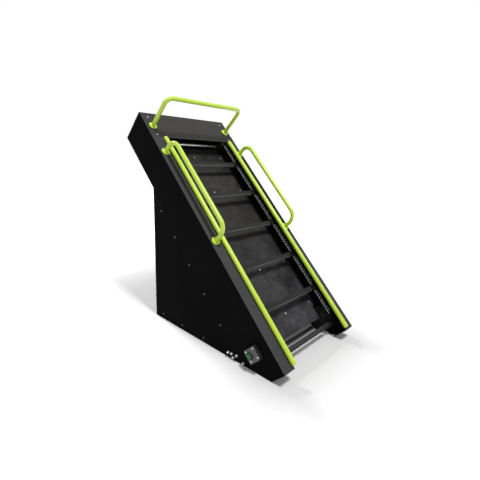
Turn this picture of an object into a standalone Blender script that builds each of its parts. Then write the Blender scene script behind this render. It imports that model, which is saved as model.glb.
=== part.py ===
"""Incline ladder climber: a sloping housing with rungs that run round it on two roller chains.

Two frames are used. The ladder frame leans back with the rails: x to the right, y up the incline
and z out of the rails' front face. The floor frame is upright: x to the right, y backwards from
the rails' lower front corner and z up from the floor.
"""
import math

import bmesh
import bpy
from mathutils import Matrix, Vector

# Driving dimensions of the whole machine
INCLINE = math.radians(45.7)
WIDTH = 0.832
LADDER_LENGTH = 2.041
HOUSING_DEPTH = 0.257
FOOT_DEPTH = 0.126
KINK_UP = 1.543
SEAM_DEPTH = 0.278
GAP = 0.0003

# Sheet metal
SHEET = 0.002
PLATE = 0.004
RAIL_FACE = 0.098
RAIL_SPACE = 0.071
TOP_COVER_LENGTH = 0.244
SKIN_LIFT = 0.002

# Frame tubes
TUBE_WIDE = 0.030
TUBE_DEEP = 0.040
TUBE_WALL = 0.0025
FOOT_HEIGHT = 0.008
FOOT_RADIUS = 0.024
FRONT_FOOT_Y = 0.130
SIDE_TUBE_START = 0.100
POST_BACK_CLEARANCE = 0.027
POST_TOP = 1.040
FRONT_TUBE_Y = 0.318
MIDDLE_TUBE_Y = 0.680
TIE_PLATE_Y = (0.191, 0.288)
TIE_PLATE_Z = (0.001, 0.008)
TIE_GROOVE_Y = (0.225, 0.237)
TIE_GROOVE_DEEP = 0.0035

# Chain loop and rungs
CHAIN_PITCH = 0.025
TEETH = 20
RUNG_LINKS = 12
RUNG_COUNT = 13
FRONT_RUNGS = 6
RUN_DEPTH = 0.045
LOWER_AXLE_UP = 0.165
FIRST_RUNG_UP = 0.378
TRAVEL = 0.060
CHAIN_INSET = 0.023
CHAIN_HEIGHT = 0.018
WRAP_HEIGHT = 0.016
ROLLER_RADIUS = 0.0065
ROLLER_SIDES = 6
ROLLER_SPACING = 6
LINK_PLATE = 0.003
INNER_WIDTH = 0.017
SPROCKET_WIDE = 0.016
TIP_HEIGHT = 0.006
SEATED = 0.0005
RUNG_TALL = 0.036
RUNG_THICK = 0.028
RUNG_CORNER = 0.008
RUNG_WALL = 0.0025
CARRIER_LONG = 0.046
CARRIER_WIDE = 0.0607
CARRIER_CLEAR = 0.004
CARRIER_PLATE = 0.0054
WRAP_CARRIER_PLATE = 0.009
CARRIER_FLANGE = 0.006
CARRIER_LIP = 0.0037
CARRIER_LIP_DEEP = 0.019

# Shafts
SHAFT_RADIUS = 0.015
SHAFT_END_PROUD = 0.0077
AXLE_RADIUS = 0.014
AXLE_INSIDE = 0.014
AXLE_FLANGE = 0.008
BEARING_RADIUS = 0.042
BEARING_LONG = 0.021
RUNNING = 0.0004

# Deck between the two runs
DECK_DEPTH = 0.128
DECK_SHEET = 0.003
DECK_UP = (0.188, 1.823)
DECK_ROWS = 5
DECK_ROW_START = 0.305
DECK_ROW_PITCH = 0.356
SUPPORT_SIZE = 0.030
LIP_UP = (0.164, 0.194)
NOTCH_MARGIN = 0.009
LEDGE_INSIDE = 0.009
LEDGE_THICK = 0.004
LEDGE_CLEAR = 0.003
TRACK_WIDE = 0.014

# Green tubes
GREEN_RADIUS = 0.016
EDGE_TUBE_INSET = 0.005
EDGE_TUBE_UP = (0.020, 1.780)
EDGE_TUBE_ROUND = 0.005
FLANGE_RADIUS = 0.030
FLANGE_THICK = 0.006
TOP_HANDLE_INSET = 0.054
TOP_HANDLE_UP = 1.905
TOP_HANDLE_RISE = 0.257
TOP_HANDLE_BEND = 0.050
GRAB_INSET = 0.040
GRAB_UP = (0.897, 1.655)
GRAB_RISE = 0.130
GRAB_BEND = 0.075
BEND_STEPS = 6
TUBE_SIDES = 12

# Drive
MOTOR_Y = 0.700
MOTOR_Z = 0.350
PULLEY_WIDE = 0.018
PULLEY_INSET = 0.014
PULLEY_RIM = 0.001
BELT_THICK = 0.004
BELT_CLEAR = 0.0008
DRIVE_PULLEY_RADIUS = 0.055
MOTOR_PULLEY_RADIUS = 0.0275
MOTOR_RADIUS = 0.065
MOTOR_LONG = 0.180
GEARBOX_LONG = 0.090
GEARBOX_INSET = 0.015
GEARBOX_SIZE = 0.125
MOTOR_SHAFT_RADIUS = 0.010
MOUNT_WIDE = 0.288
MOUNT_INSET = 0.007
MOUNT_Y = (0.620, 0.780)
CONTROLLER_WIDE = 0.200
CONTROLLER_INSET = 0.075
CONTROLLER_Y = (0.625, 0.775)
CONTROLLER_TALL = 0.110

# Control box on the left side, and the fittings beside it
SWITCH_DEPTH = (0.086, 0.190)
SWITCH_UP = (0.136, 0.228)
SWITCH_PROUD = 0.024
SWITCH_PLATE = 0.002
SWITCH_MARGIN = 0.009
SWITCH_WALL = 0.006
SWITCH_CORNER = 0.008
BUTTON_AT = (0.154, 0.184)
BUTTON_RADIUS = 0.0225
BUTTON_PROUD = 0.011
BUTTON_INSIDE = 0.012

# Sizes worked out from the ones above
HALF = WIDTH / 2
WALL_X = HALF - RAIL_SPACE
CHAIN_X = WALL_X - CHAIN_INSET
CARRIER_END_X = WALL_X - CARRIER_CLEAR
RUNG_HALF = CARRIER_END_X - CARRIER_WIDE - GAP
TUBE_X = WALL_X + PLATE + GAP
SHAFT_END_X = TUBE_X + BEARING_LONG + SHAFT_END_PROUD
AXLE_START_X = CHAIN_X - AXLE_INSIDE
LEDGE_X = CHAIN_X - LEDGE_INSIDE
FLANGE_EDGE_X = HALF - RAIL_FACE
EDGE_TUBE_X = FLANGE_EDGE_X + EDGE_TUBE_INSET
TOP_HANDLE_X = HALF - TOP_HANDLE_INSET
GRAB_X = HALF - GRAB_INSET
PULLEY_X = (HALF - PULLEY_INSET - PULLEY_WIDE, HALF - PULLEY_INSET)
BELT_X = (PULLEY_X[0] + PULLEY_RIM, PULLEY_X[1] - PULLEY_RIM)
GEARBOX_X = (WALL_X - GEARBOX_INSET - GEARBOX_LONG, WALL_X - GEARBOX_INSET)
MOTOR_X = (GEARBOX_X[0] - MOTOR_LONG, GEARBOX_X[0])
MOUNT_X = (WALL_X - MOUNT_INSET - MOUNT_WIDE, WALL_X - MOUNT_INSET)
CONTROLLER_X = (CONTROLLER_INSET - WALL_X, CONTROLLER_INSET - WALL_X + CONTROLLER_WIDE)
COS = math.cos(INCLINE)
SIN = math.sin(INCLINE)
PITCH_RADIUS = CHAIN_PITCH / (2 * math.sin(math.pi / TEETH))
RUNG_PITCH = RUNG_LINKS * CHAIN_PITCH
AXLE_SPAN = (RUNG_COUNT * RUNG_PITCH - 2 * math.pi * PITCH_RADIUS) / 2
TOP_AXLE_UP = LOWER_AXLE_UP + AXLE_SPAN
AXLE_DEPTH = RUN_DEPTH + PITCH_RADIUS
RETURN_DEPTH = RUN_DEPTH + 2 * PITCH_RADIUS
INNER_OUT = INNER_WIDTH / 2 + LINK_PLATE
OUTER_IN = INNER_OUT + GAP
OUTER_OUT = OUTER_IN + LINK_PLATE
COVER_FROM_UP = LADDER_LENGTH - TOP_COVER_LENGTH
FLOOR_RISE = FOOT_DEPTH * COS
TUBE_LOW = FOOT_HEIGHT + GAP
TUBE_TOP = TUBE_LOW + TUBE_WIDE
SWITCH_OUT = SWITCH_PROUD + SWITCH_PLATE + BUTTON_PROUD + 2 * GAP
X_SHIFT = SWITCH_OUT / 2
INNER_LIFT = FOOT_HEIGHT + GAP
RAIL_CLEAR = PITCH_RADIUS + CHAIN_HEIGHT / 2 + NOTCH_MARGIN
BACK_REACH = LADDER_LENGTH * COS + HOUSING_DEPTH * SIN
FRONT_REACH = (EDGE_TUBE_UP[0] + EDGE_TUBE_ROUND) * COS - (2 * GREEN_RADIUS + GAP) * SIN
Y_MIDDLE = (BACK_REACH + FRONT_REACH) / 2


def to_ladder(y, z):
    """A floor-frame point (y, z) as (up, out) in the ladder frame."""
    z = z - FLOOR_RISE
    return (y * COS + z * SIN, -y * SIN + z * COS)


def to_floor(up, out):
    """A ladder-frame point (up, out) as (y, z) in the floor frame."""
    return (up * COS - out * SIN, up * SIN + out * COS + FLOOR_RISE)


BACK_Y, KINK_Z = to_floor(KINK_UP, -HOUSING_DEPTH)
POST_Y = BACK_Y - POST_BACK_CLEARANCE - TUBE_DEEP


def floor_line(up, lift):
    """How far out of the front face a height `lift` above the floor lies, at `up` the ladder."""
    return lift / COS - FOOT_DEPTH - up * math.tan(INCLINE)


def floor_line_up(out, lift):
    """Where up the ladder a height `lift` above the floor meets the depth `out`."""
    return (lift / COS - FOOT_DEPTH - out) / math.tan(INCLINE)


def paint(name, colour, roughness, metallic=0.0):
    material = bpy.data.materials.new(name)
    material.use_nodes = True
    shader = material.node_tree.nodes["Principled BSDF"]
    shader.inputs["Base Color"].default_value = (*colour, 1.0)
    shader.inputs["Roughness"].default_value = roughness
    shader.inputs["Metallic"].default_value = metallic
    return material


def empty(name, location, parent=None, turn=0.0):
    frame = bpy.data.objects.new(name, None)
    frame.location = location
    frame.rotation_euler = (turn, 0.0, 0.0)
    frame.parent = parent
    bpy.context.collection.objects.link(frame)
    return frame


def place(name, bm, material, parent, smooth=False):
    """Turn a bmesh into a named object under its frame."""
    bmesh.ops.recalc_face_normals(bm, faces=bm.faces)
    mesh = bpy.data.meshes.new(name)
    bm.to_mesh(mesh)
    bm.free()
    mesh.materials.append(material)
    if smooth:
        mesh.shade_smooth()
        mesh.set_sharp_from_angle(angle=math.radians(40))
    body = bpy.data.objects.new(name, mesh)
    body.parent = parent
    bpy.context.collection.objects.link(body)
    return body


def point(axis, a, b, along):
    """A point from two coordinates across an axis, in X, Y, Z order, and one along it."""
    if axis == "x":
        return Vector((along, a, b))
    if axis == "y":
        return Vector((a, along, b))
    return Vector((a, b, along))


def grow(bm, faces, axis, length):
    grown = bmesh.ops.extrude_face_region(bm, geom=faces)
    moved = [item for item in grown["geom"] if isinstance(item, bmesh.types.BMVert)]
    bmesh.ops.translate(bm, verts=moved, vec=point(axis, 0.0, 0.0, length))


def prism(bm, outline, axis, low, high):
    """A solid with one flat outline, grown along an axis."""
    corners = [bm.verts.new(point(axis, a, b, low)) for a, b in outline]
    grow(bm, [bm.faces.new(corners)], axis, high - low)


def pipe(bm, outer, inner, axis, low, high):
    """A hollow solid between two outlines with the same number of points."""
    outside = [bm.verts.new(point(axis, a, b, low)) for a, b in outer]
    inside = [bm.verts.new(point(axis, a, b, low)) for a, b in inner]
    ring = []
    for i in range(len(outer)):
        ring.append(bm.faces.new((outside[i - 1], outside[i], inside[i], inside[i - 1])))
    grow(bm, ring, axis, high - low)


def box(bm, x, y, z):
    prism(bm, [(x[0], y[0]), (x[1], y[0]), (x[1], y[1]), (x[0], y[1])], "z", z[0], z[1])


def turned(bm, profile, axis, centre, sides):
    """A solid turned about an axis, from (radius, along) points that start and end on it."""
    direction = point(axis, 0.0, 0.0, 1.0)
    middle = point(axis, centre[0], centre[1], 0.0)
    verts = [bm.verts.new(point(axis, centre[0] + r, centre[1], along)) for r, along in profile]
    edges = [bm.edges.new(pair) for pair in zip(verts, verts[1:])]
    bmesh.ops.spin(bm, geom=verts + edges, cent=middle, axis=direction, angle=2 * math.pi,
                   steps=sides, use_merge=True)
    bmesh.ops.remove_doubles(bm, verts=bm.verts, dist=1e-6)


def rod(bm, axis, centre, radius, low, high, sides, start=0.0):
    prism(bm, circle(centre, radius, sides, start), axis, low, high)


def circle(centre, radius, sides, start=0.0):
    """Points round a circle; radius is to the corners."""
    step = 2 * math.pi / sides
    return [(centre[0] + radius * math.cos(start + i * step),
             centre[1] + radius * math.sin(start + i * step)) for i in range(sides)]


def bore(radius, sides):
    """Corner radius of a polygon hole that clears a round of this radius."""
    return (radius + RUNNING) / math.cos(math.pi / sides)


def rounded_rectangle(wide, tall, corner, steps):
    outline = []
    for quarter in range(4):
        sign_a = 1 if quarter in (0, 3) else -1
        sign_b = 1 if quarter in (0, 1) else -1
        centre_a = sign_a * (wide / 2 - corner)
        centre_b = sign_b * (tall / 2 - corner)
        for step in range(steps + 1):
            angle = (quarter + step / steps) * math.pi / 2
            outline.append((centre_a + corner * math.cos(angle), centre_b + corner * math.sin(angle)))
    return outline


def square_tube(bm, axis, a, b, low, high):
    """A rectangular tube with open ends; a and b are its spans across the axis."""
    outer = [(a[0], b[0]), (a[1], b[0]), (a[1], b[1]), (a[0], b[1])]
    inner = [(a[0] + TUBE_WALL, b[0] + TUBE_WALL), (a[1] - TUBE_WALL, b[0] + TUBE_WALL),
             (a[1] - TUBE_WALL, b[1] - TUBE_WALL), (a[0] + TUBE_WALL, b[1] - TUBE_WALL)]
    pipe(bm, outer, inner, axis, low, high)


def combine(target, other, operation):
    """A live Boolean with a hidden tool object."""
    other.hide_render = True
    other.display_type = "WIRE"
    modifier = target.modifiers.new(operation.lower(), "BOOLEAN")
    modifier.operation = operation
    modifier.solver = "EXACT"
    modifier.object = other


def span(side, low, high):
    """An x range on the right side, or its mirror on the left."""
    return (side * low, side * high) if side > 0 else (-high, -low)


def swept(bm, stations, across):
    """A round tube through (place, radius) stations in a plane square to `across`."""
    places = [Vector(spot) for spot, radius in stations]
    loops = []
    for i, (spot, radius) in enumerate(stations):
        before = places[max(i - 1, 0)]
        after = places[min(i + 1, len(places) - 1)]
        if before == places[i]:
            before = places[max(i - 2, 0)] if i else before
        if after == places[i]:
            after = places[min(i + 2, len(places) - 1)]
        side = (after - before).normalized().cross(across)
        loops.append([bm.verts.new(places[i] + (across * math.cos(a) + side * math.sin(a)) * radius)
                      for a in (k * 2 * math.pi / TUBE_SIDES for k in range(TUBE_SIDES))])
    for low, high in zip(loops, loops[1:]):
        for k in range(TUBE_SIDES):
            bm.faces.new((low[k - 1], low[k], high[k], high[k - 1]))
    bm.faces.new(loops[0])
    bm.faces.new(loops[-1])


def handle(name, corners, bend, material, ladder):
    """A green handle: a bent tube that stands on two round flanges."""
    corners = [Vector(corner) for corner in corners]
    rise = Vector((0.0, 0.0, FLANGE_THICK))
    stations = [(corners[0], FLANGE_RADIUS), (corners[0] + rise, FLANGE_RADIUS),
                (corners[0] + rise, GREEN_RADIUS)]
    for before, corner, after in zip(corners, corners[1:], corners[2:]):
        into = (before - corner).normalized()
        out = (after - corner).normalized()
        centre = corner + (into + out) * bend
        for step in range(BEND_STEPS + 1):
            angle = step / BEND_STEPS * math.pi / 2
            spot = centre - out * bend * math.cos(angle) - into * bend * math.sin(angle)
            stations.append((spot, GREEN_RADIUS))
    stations += [(corners[-1] + rise, GREEN_RADIUS), (corners[-1] + rise, FLANGE_RADIUS),
                 (corners[-1], FLANGE_RADIUS)]
    across = (corners[2] - corners[1]).normalized().cross(Vector((0.0, 0.0, 1.0)))
    bm = bmesh.new()
    swept(bm, stations, across)
    place(name, bm, material, ladder, smooth=True)


def side_panel(name, side, material, ladder):
    """Folded sheet: outer side, front face of the rail and end of the foot."""
    drop = (SEAM_DEPTH - HOUSING_DEPTH) / COS
    outline = [
        (0.0, 0.0),
        (COVER_FROM_UP - GAP, 0.0),
        (COVER_FROM_UP - GAP, -SHEET - GAP),
        (LADDER_LENGTH - SHEET - GAP, -SHEET - GAP),
        (LADDER_LENGTH - SHEET - GAP, -HOUSING_DEPTH),
        (KINK_UP, -HOUSING_DEPTH),
        (seam_up(SEAM_DEPTH), -SEAM_DEPTH),
        (floor_line_up(-SEAM_DEPTH, SKIN_LIFT), -SEAM_DEPTH),
        (0.0, floor_line(0.0, SKIN_LIFT)),
    ]
    bm = bmesh.new()
    prism(bm, outline, "x", *span(side, HALF - SHEET, HALF))
    panel = place(name, bm, material, ladder)
    bm = bmesh.new()
    box(bm, span(side, FLANGE_EDGE_X, HALF - SHEET / 2), (0.0, COVER_FROM_UP - GAP), (-SHEET, 0.0))
    combine(panel, place(name + "_front_fold", bm, material, ladder), "UNION")
    bm = bmesh.new()
    box(bm, span(side, FLANGE_EDGE_X, HALF - SHEET / 2), (0.0, SHEET),
        (floor_line(SHEET, SKIN_LIFT), -SHEET / 2))
    combine(panel, place(name + "_end_fold", bm, material, ladder), "UNION")


def seam_up(deep):
    """How far up the ladder the upright back line lies at a depth behind the front face."""
    return (BACK_Y - deep * SIN) / COS


def inner_plate(name, side, material, ladder):
    """Structural wall beside the rungs, with shaft holes and a ledge that the chain rolls on."""
    start = SHEET + GAP
    deep = HOUSING_DEPTH - SHEET - GAP
    outline = [
        (start, -start),
        (LADDER_LENGTH - start, -start),
        (LADDER_LENGTH - start, -deep),
        (floor_line_up(-deep, INNER_LIFT), -deep),
        (start, floor_line(start, INNER_LIFT)),
    ]
    bm = bmesh.new()
    prism(bm, outline, "x", *span(side, WALL_X, WALL_X + PLATE))
    wall = place(name, bm, material, ladder)
    bm = bmesh.new()
    reach = span(side, WALL_X - PLATE, WALL_X + 2 * PLATE)
    rod(bm, "x", (TOP_AXLE_UP, -AXLE_DEPTH), bore(SHAFT_RADIUS, 24), *reach, 24)
    rod(bm, "x", (LOWER_AXLE_UP, -AXLE_DEPTH), bore(AXLE_RADIUS, 24), *reach, 24)
    combine(wall, place(name + "_shaft_holes", bm, material, ladder), "DIFFERENCE")
    track = -RUN_DEPTH - ROLLER_RADIUS - 2 * GAP
    ledge = -RUN_DEPTH - CHAIN_HEIGHT / 2 - LEDGE_CLEAR
    root = WALL_X + PLATE / 2
    profile = [(root, ledge), (CHAIN_X + TRACK_WIDE / 2, ledge), (CHAIN_X + TRACK_WIDE / 2, track),
               (CHAIN_X - TRACK_WIDE / 2, track), (CHAIN_X - TRACK_WIDE / 2, ledge),
               (LEDGE_X, ledge), (LEDGE_X, ledge - LEDGE_THICK), (root, ledge - LEDGE_THICK)]
    bm = bmesh.new()
    prism(bm, [(side * a, b) for a, b in profile], "y", LOWER_AXLE_UP + RAIL_CLEAR,
          TOP_AXLE_UP - RAIL_CLEAR)
    combine(wall, place(name + "_ledge", bm, material, ladder), "UNION")


def rear_panel(name, side, material, ladder):
    """Triangular side of the rear housing, below the seam."""
    seam = SEAM_DEPTH + GAP
    outline = [
        (seam_up(seam), -seam),
        to_ladder(BACK_Y, SKIN_LIFT),
        (floor_line_up(-seam, SKIN_LIFT), -seam),
    ]
    bm = bmesh.new()
    prism(bm, outline, "x", *span(side, HALF - SHEET, HALF))
    place(name, bm, material, ladder)


def covers(material, ladder, floor):
    """Top cover with its folded end, the sloping back cover and the upright rear cover."""
    bm = bmesh.new()
    outline = [(COVER_FROM_UP, 0.0), (LADDER_LENGTH, 0.0), (LADDER_LENGTH, -HOUSING_DEPTH),
               (LADDER_LENGTH - SHEET, -HOUSING_DEPTH), (LADDER_LENGTH - SHEET, -SHEET),
               (COVER_FROM_UP, -SHEET)]
    prism(bm, outline, "x", -HALF, HALF)
    place("top_cover", bm, material, ladder)
    inside = HALF - SHEET - GAP
    bm = bmesh.new()
    box(bm, (-inside, inside), (KINK_UP + SHEET, LADDER_LENGTH - SHEET - GAP),
        (-HOUSING_DEPTH, SHEET - HOUSING_DEPTH))
    place("back_cover", bm, material, ladder)
    bm = bmesh.new()
    box(bm, (-inside, inside), (BACK_Y - SHEET, BACK_Y), (SKIN_LIFT, KINK_Z - SHEET))
    place("rear_cover", bm, material, floor)


def frame(material, floor):
    """Welded side frames, the tubes across them and the tie plate under their front end."""
    for name, side in (("left_frame", -1), ("right_frame", 1)):
        across = span(side, TUBE_X, TUBE_X + TUBE_WIDE)
        bm = bmesh.new()
        square_tube(bm, "y", across, (TUBE_LOW, TUBE_TOP), SIDE_TUBE_START, POST_Y + TUBE_DEEP)
        side_frame = place(name, bm, material, floor)
        bm = bmesh.new()
        square_tube(bm, "z", across, (POST_Y, POST_Y + TUBE_DEEP), TUBE_TOP - TUBE_WALL / 2, POST_TOP)
        combine(side_frame, place(name + "_post", bm, material, floor), "UNION")
    reach = WALL_X + PLATE
    for name, start in (("front_cross_tube", FRONT_TUBE_Y), ("middle_cross_tube", MIDDLE_TUBE_Y),
                        ("rear_cross_tube", POST_Y)):
        bm = bmesh.new()
        square_tube(bm, "x", (start, start + TUBE_DEEP), (TUBE_LOW, TUBE_TOP), -reach, reach)
        place(name, bm, material, floor)
    low, high = TIE_PLATE_Z
    outline = [(TIE_PLATE_Y[0], low), (TIE_PLATE_Y[1], low), (TIE_PLATE_Y[1], high),
               (TIE_GROOVE_Y[1], high), (TIE_GROOVE_Y[1], high - TIE_GROOVE_DEEP),
               (TIE_GROOVE_Y[0], high - TIE_GROOVE_DEEP), (TIE_GROOVE_Y[0], high),
               (TIE_PLATE_Y[0], high)]
    bm = bmesh.new()
    prism(bm, outline, "x", -TUBE_X - TUBE_WIDE, TUBE_X + TUBE_WIDE)
    place("floor_tie_plate", bm, material, floor)


def feet(material, floor):
    for end, y in (("front", FRONT_FOOT_Y), ("rear", POST_Y + TUBE_DEEP / 2)):
        for name, side in (("left", -1), ("right", 1)):
            bm = bmesh.new()
            rod(bm, "z", (side * (TUBE_X + TUBE_WIDE / 2), y), FOOT_RADIUS, 0.0, FOOT_HEIGHT, 16)
            place(f"{end}_{name}_foot", bm, material, floor, smooth=True)


def deck(material, ladder):
    """Kick deck behind the rungs, notched round the sprockets, with six tubes welded across it."""
    edge = WALL_X - GAP
    notch_x = CHAIN_X - OUTER_OUT - GAP - CARRIER_LIP
    low, high = DECK_UP
    low_notch = LOWER_AXLE_UP + RAIL_CLEAR
    high_notch = TOP_AXLE_UP - RAIL_CLEAR
    half = [(notch_x, low), (notch_x, low_notch), (edge, low_notch), (edge, high_notch),
            (notch_x, high_notch), (notch_x, high)]
    outline = half + [(-x, up) for x, up in reversed(half)]
    bm = bmesh.new()
    prism(bm, outline, "z", -DECK_DEPTH - DECK_SHEET, -DECK_DEPTH)
    body = place("deck", bm, material, ladder)
    top = -DECK_DEPTH - DECK_SHEET / 2
    bm = bmesh.new()
    for i in range(DECK_ROWS):
        row = DECK_ROW_START + i * DECK_ROW_PITCH
        square_tube(bm, "x", (row - SUPPORT_SIZE / 2, row + SUPPORT_SIZE / 2),
                    (top - SUPPORT_SIZE, top), -edge, edge)
    square_tube(bm, "x", LIP_UP, (top - SUPPORT_SIZE, top), -notch_x, notch_x)
    combine(body, place("deck_tubes", bm, material, ladder), "UNION")


def saddle_outline(x_side, out, facing, thick):
    """The section of a rung carrier, folded over the chain. facing is 1 away from the deck."""
    start = RUNG_HALF + GAP
    top = RUNG_THICK / 2
    lip_x = CARRIER_END_X - CARRIER_LIP
    section = [(start, top), (CARRIER_END_X, top), (CARRIER_END_X, top - CARRIER_LIP_DEEP),
               (lip_x, top - CARRIER_LIP_DEEP), (lip_x, top - thick),
               (start + CARRIER_FLANGE, top - thick), (start + CARRIER_FLANGE, -top), (start, -top)]
    return [(x_side * a, out + facing * b) for a, b in section]


def chain(name, side, ends, rung_places, facing, material, run):
    """A straight run of one chain: outer link plates, rollers and the carriers of its rungs."""
    low, high = ends
    bm = bmesh.new()
    for start in (-OUTER_OUT, OUTER_IN):
        box(bm, span(side, CHAIN_X + start, CHAIN_X + start + LINK_PLATE), (low, high),
            (-CHAIN_HEIGHT / 2, CHAIN_HEIGHT / 2))
    body = place(name, bm, material, run)
    clear = PITCH_RADIUS + TRAVEL
    first = LOWER_AXLE_UP + clear
    spacing = ROLLER_SPACING * CHAIN_PITCH
    count = int((TOP_AXLE_UP - clear - first) / spacing) + 1
    pin_end = OUTER_IN + LINK_PLATE / 2
    bm = bmesh.new()
    for i in range(count):
        rod(bm, "x", (first + i * spacing, 0.0), ROLLER_RADIUS,
            *span(side, CHAIN_X - pin_end, CHAIN_X + pin_end), ROLLER_SIDES)
    combine(body, place(name + "_rollers", bm, material, run), "UNION")
    bm = bmesh.new()
    for up in rung_places:
        prism(bm, saddle_outline(side, 0.0, facing, CARRIER_PLATE), "y", up - CARRIER_LONG / 2,
              up + CARRIER_LONG / 2)
    combine(body, place(name + "_carriers", bm, material, run), "UNION")


def sprocket(name, side, shaft_radius, facing, rung_angles, material, axle):
    """A toothed disc with the half turn of chain that lies on it.

    facing is 1 at the top of the ladder and -1 at its foot. rung_angles are the places of
    carriers on the half turn, measured about the axle from the front.
    """
    low, high = span(side, CHAIN_X - SPROCKET_WIDE / 2, CHAIN_X + SPROCKET_WIDE / 2)
    root = PITCH_RADIUS - ROLLER_RADIUS + SEATED
    tip = PITCH_RADIUS + TIP_HEIGHT
    outline = []
    for tooth in range(TEETH):
        for share, radius in ((-0.27, root), (-0.10, tip), (0.10, tip), (0.27, root)):
            angle = (tooth + 0.5 + share) * 2 * math.pi / TEETH
            outline.append((radius * math.cos(angle), radius * math.sin(angle)))
    bm = bmesh.new()
    prism(bm, outline, "x", low, high)
    body = place(name, bm, material, axle)
    bm = bmesh.new()
    rod(bm, "x", (0.0, 0.0), bore(shaft_radius, 20), low - PLATE, high + PLATE, 20)
    combine(body, place(name + "_bore", bm, material, axle), "DIFFERENCE")

    steps = 16
    inner = PITCH_RADIUS - WRAP_HEIGHT / 2
    outer = PITCH_RADIUS + WRAP_HEIGHT / 2
    angles = [math.pi / 2 - facing * i / steps * math.pi for i in range(steps + 1)]
    outline = [(outer * math.cos(a), outer * math.sin(a)) for a in angles]
    outline += [(inner * math.cos(a), inner * math.sin(a)) for a in reversed(angles)]
    bm = bmesh.new()
    for start in (-INNER_OUT, INNER_WIDTH / 2):
        prism(bm, outline, "x", *span(side, CHAIN_X + start, CHAIN_X + start + LINK_PLATE))
    combine(body, place(name + "_links", bm, material, axle), "UNION")
    bm = bmesh.new()
    pin_end = INNER_WIDTH / 2 + LINK_PLATE / 2
    for i in range(1, TEETH // 2):
        angle = math.pi / 2 - facing * i * 2 * math.pi / TEETH
        centre = (PITCH_RADIUS * math.cos(angle), PITCH_RADIUS * math.sin(angle))
        rod(bm, "x", centre, ROLLER_RADIUS, *span(side, CHAIN_X - pin_end, CHAIN_X + pin_end),
            ROLLER_SIDES, angle)
    combine(body, place(name + "_rollers", bm, material, axle), "UNION")
    if not rung_angles:
        return
    bm = bmesh.new()
    for angle in rung_angles:
        saddle = bmesh.new()
        prism(saddle, saddle_outline(side, PITCH_RADIUS, 1, WRAP_CARRIER_PLATE), "y",
              -CARRIER_LONG / 2, CARRIER_LONG / 2)
        bmesh.ops.transform(saddle, matrix=Matrix.Rotation(angle, 4, "X"), verts=saddle.verts)
        turned_saddle = bpy.data.meshes.new(name + "_carrier")
        saddle.to_mesh(turned_saddle)
        saddle.free()
        bm.from_mesh(turned_saddle)
    combine(body, place(name + "_carriers", bm, material, axle), "UNION")


def rung(name, up, out, turn, material, parent):
    """A hollow aluminium rung across the ladder."""
    outer = rounded_rectangle(RUNG_TALL, RUNG_THICK, RUNG_CORNER, 3)
    inner = rounded_rectangle(RUNG_TALL - 2 * RUNG_WALL, RUNG_THICK - 2 * RUNG_WALL,
                              RUNG_CORNER - RUNG_WALL, 3)
    bm = bmesh.new()
    pipe(bm, [(up + a, out + b) for a, b in outer], [(up + a, out + b) for a, b in inner], "x",
         -RUNG_HALF, RUNG_HALF)
    bmesh.ops.transform(bm, matrix=Matrix.Rotation(turn, 4, "X"), verts=bm.verts)
    place(name, bm, material, parent, smooth=True)


def rungs_and_chains(rung_paint, chain_paint, frames):
    """Rungs and chains in three groups: front run, return run and the turn round each axle."""
    front, back, top_axle, lower_axle = frames
    front_places = [FIRST_RUNG_UP + i * RUNG_PITCH for i in range(FRONT_RUNGS)]
    for number, up in enumerate(front_places, start=1):
        rung(f"rung_{number}", up, 0.0, 0.0, rung_paint, front)
    past_top = front_places[-1] + RUNG_PITCH - TOP_AXLE_UP - math.pi * PITCH_RADIUS
    back_places = [TOP_AXLE_UP - past_top - i * RUNG_PITCH for i in range(RUNG_COUNT - FRONT_RUNGS - 1)]
    for number, up in enumerate(back_places, start=1):
        rung(f"return_rung_{number}", up, 0.0, 0.0, rung_paint, back)
    lower_angle = (RUNG_PITCH - (FIRST_RUNG_UP - LOWER_AXLE_UP)) / PITCH_RADIUS
    rung("lower_rung", 0.0, PITCH_RADIUS, lower_angle, rung_paint, lower_axle)
    front_ends = (LOWER_AXLE_UP, front_places[-1] + CARRIER_LONG / 4)
    for name, side in (("left", -1), ("right", 1)):
        chain(name + "_front_chain", side, front_ends, front_places, 1, chain_paint, front)
        chain(name + "_return_chain", side, (LOWER_AXLE_UP, TOP_AXLE_UP), back_places, -1, chain_paint,
              back)
        sprocket(name + "_top_sprocket", side, SHAFT_RADIUS, 1, [], chain_paint, top_axle)
        sprocket(name + "_lower_sprocket", side, AXLE_RADIUS, -1, [lower_angle], chain_paint, lower_axle)


def shafts(steel, dark, ladder, top_axle):
    bm = bmesh.new()
    rod(bm, "x", (0.0, 0.0), SHAFT_RADIUS, -SHAFT_END_X, PULLEY_X[1], 24)
    place("top_shaft", bm, steel, top_axle, smooth=True)
    top = (TOP_AXLE_UP, -AXLE_DEPTH)
    low = (LOWER_AXLE_UP, -AXLE_DEPTH)
    for name, side in (("left", -1), ("right", 1)):
        bm = bmesh.new()
        pipe(bm, circle(top, BEARING_RADIUS, 24), circle(top, bore(SHAFT_RADIUS, 24), 24), "x",
             *span(side, TUBE_X, TUBE_X + BEARING_LONG))
        place(name + "_shaft_bearing", bm, dark, ladder, smooth=True)
        flange = TUBE_X + AXLE_FLANGE
        profile = [(0.0, AXLE_START_X), (AXLE_RADIUS, AXLE_START_X), (AXLE_RADIUS, TUBE_X),
                   (BEARING_RADIUS, TUBE_X), (BEARING_RADIUS, flange), (0.0, flange)]
        bm = bmesh.new()
        turned(bm, [(r, side * x) for r, x in profile], "x", low, 24)
        place(name + "_stub_axle", bm, steel, ladder, smooth=True)


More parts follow.
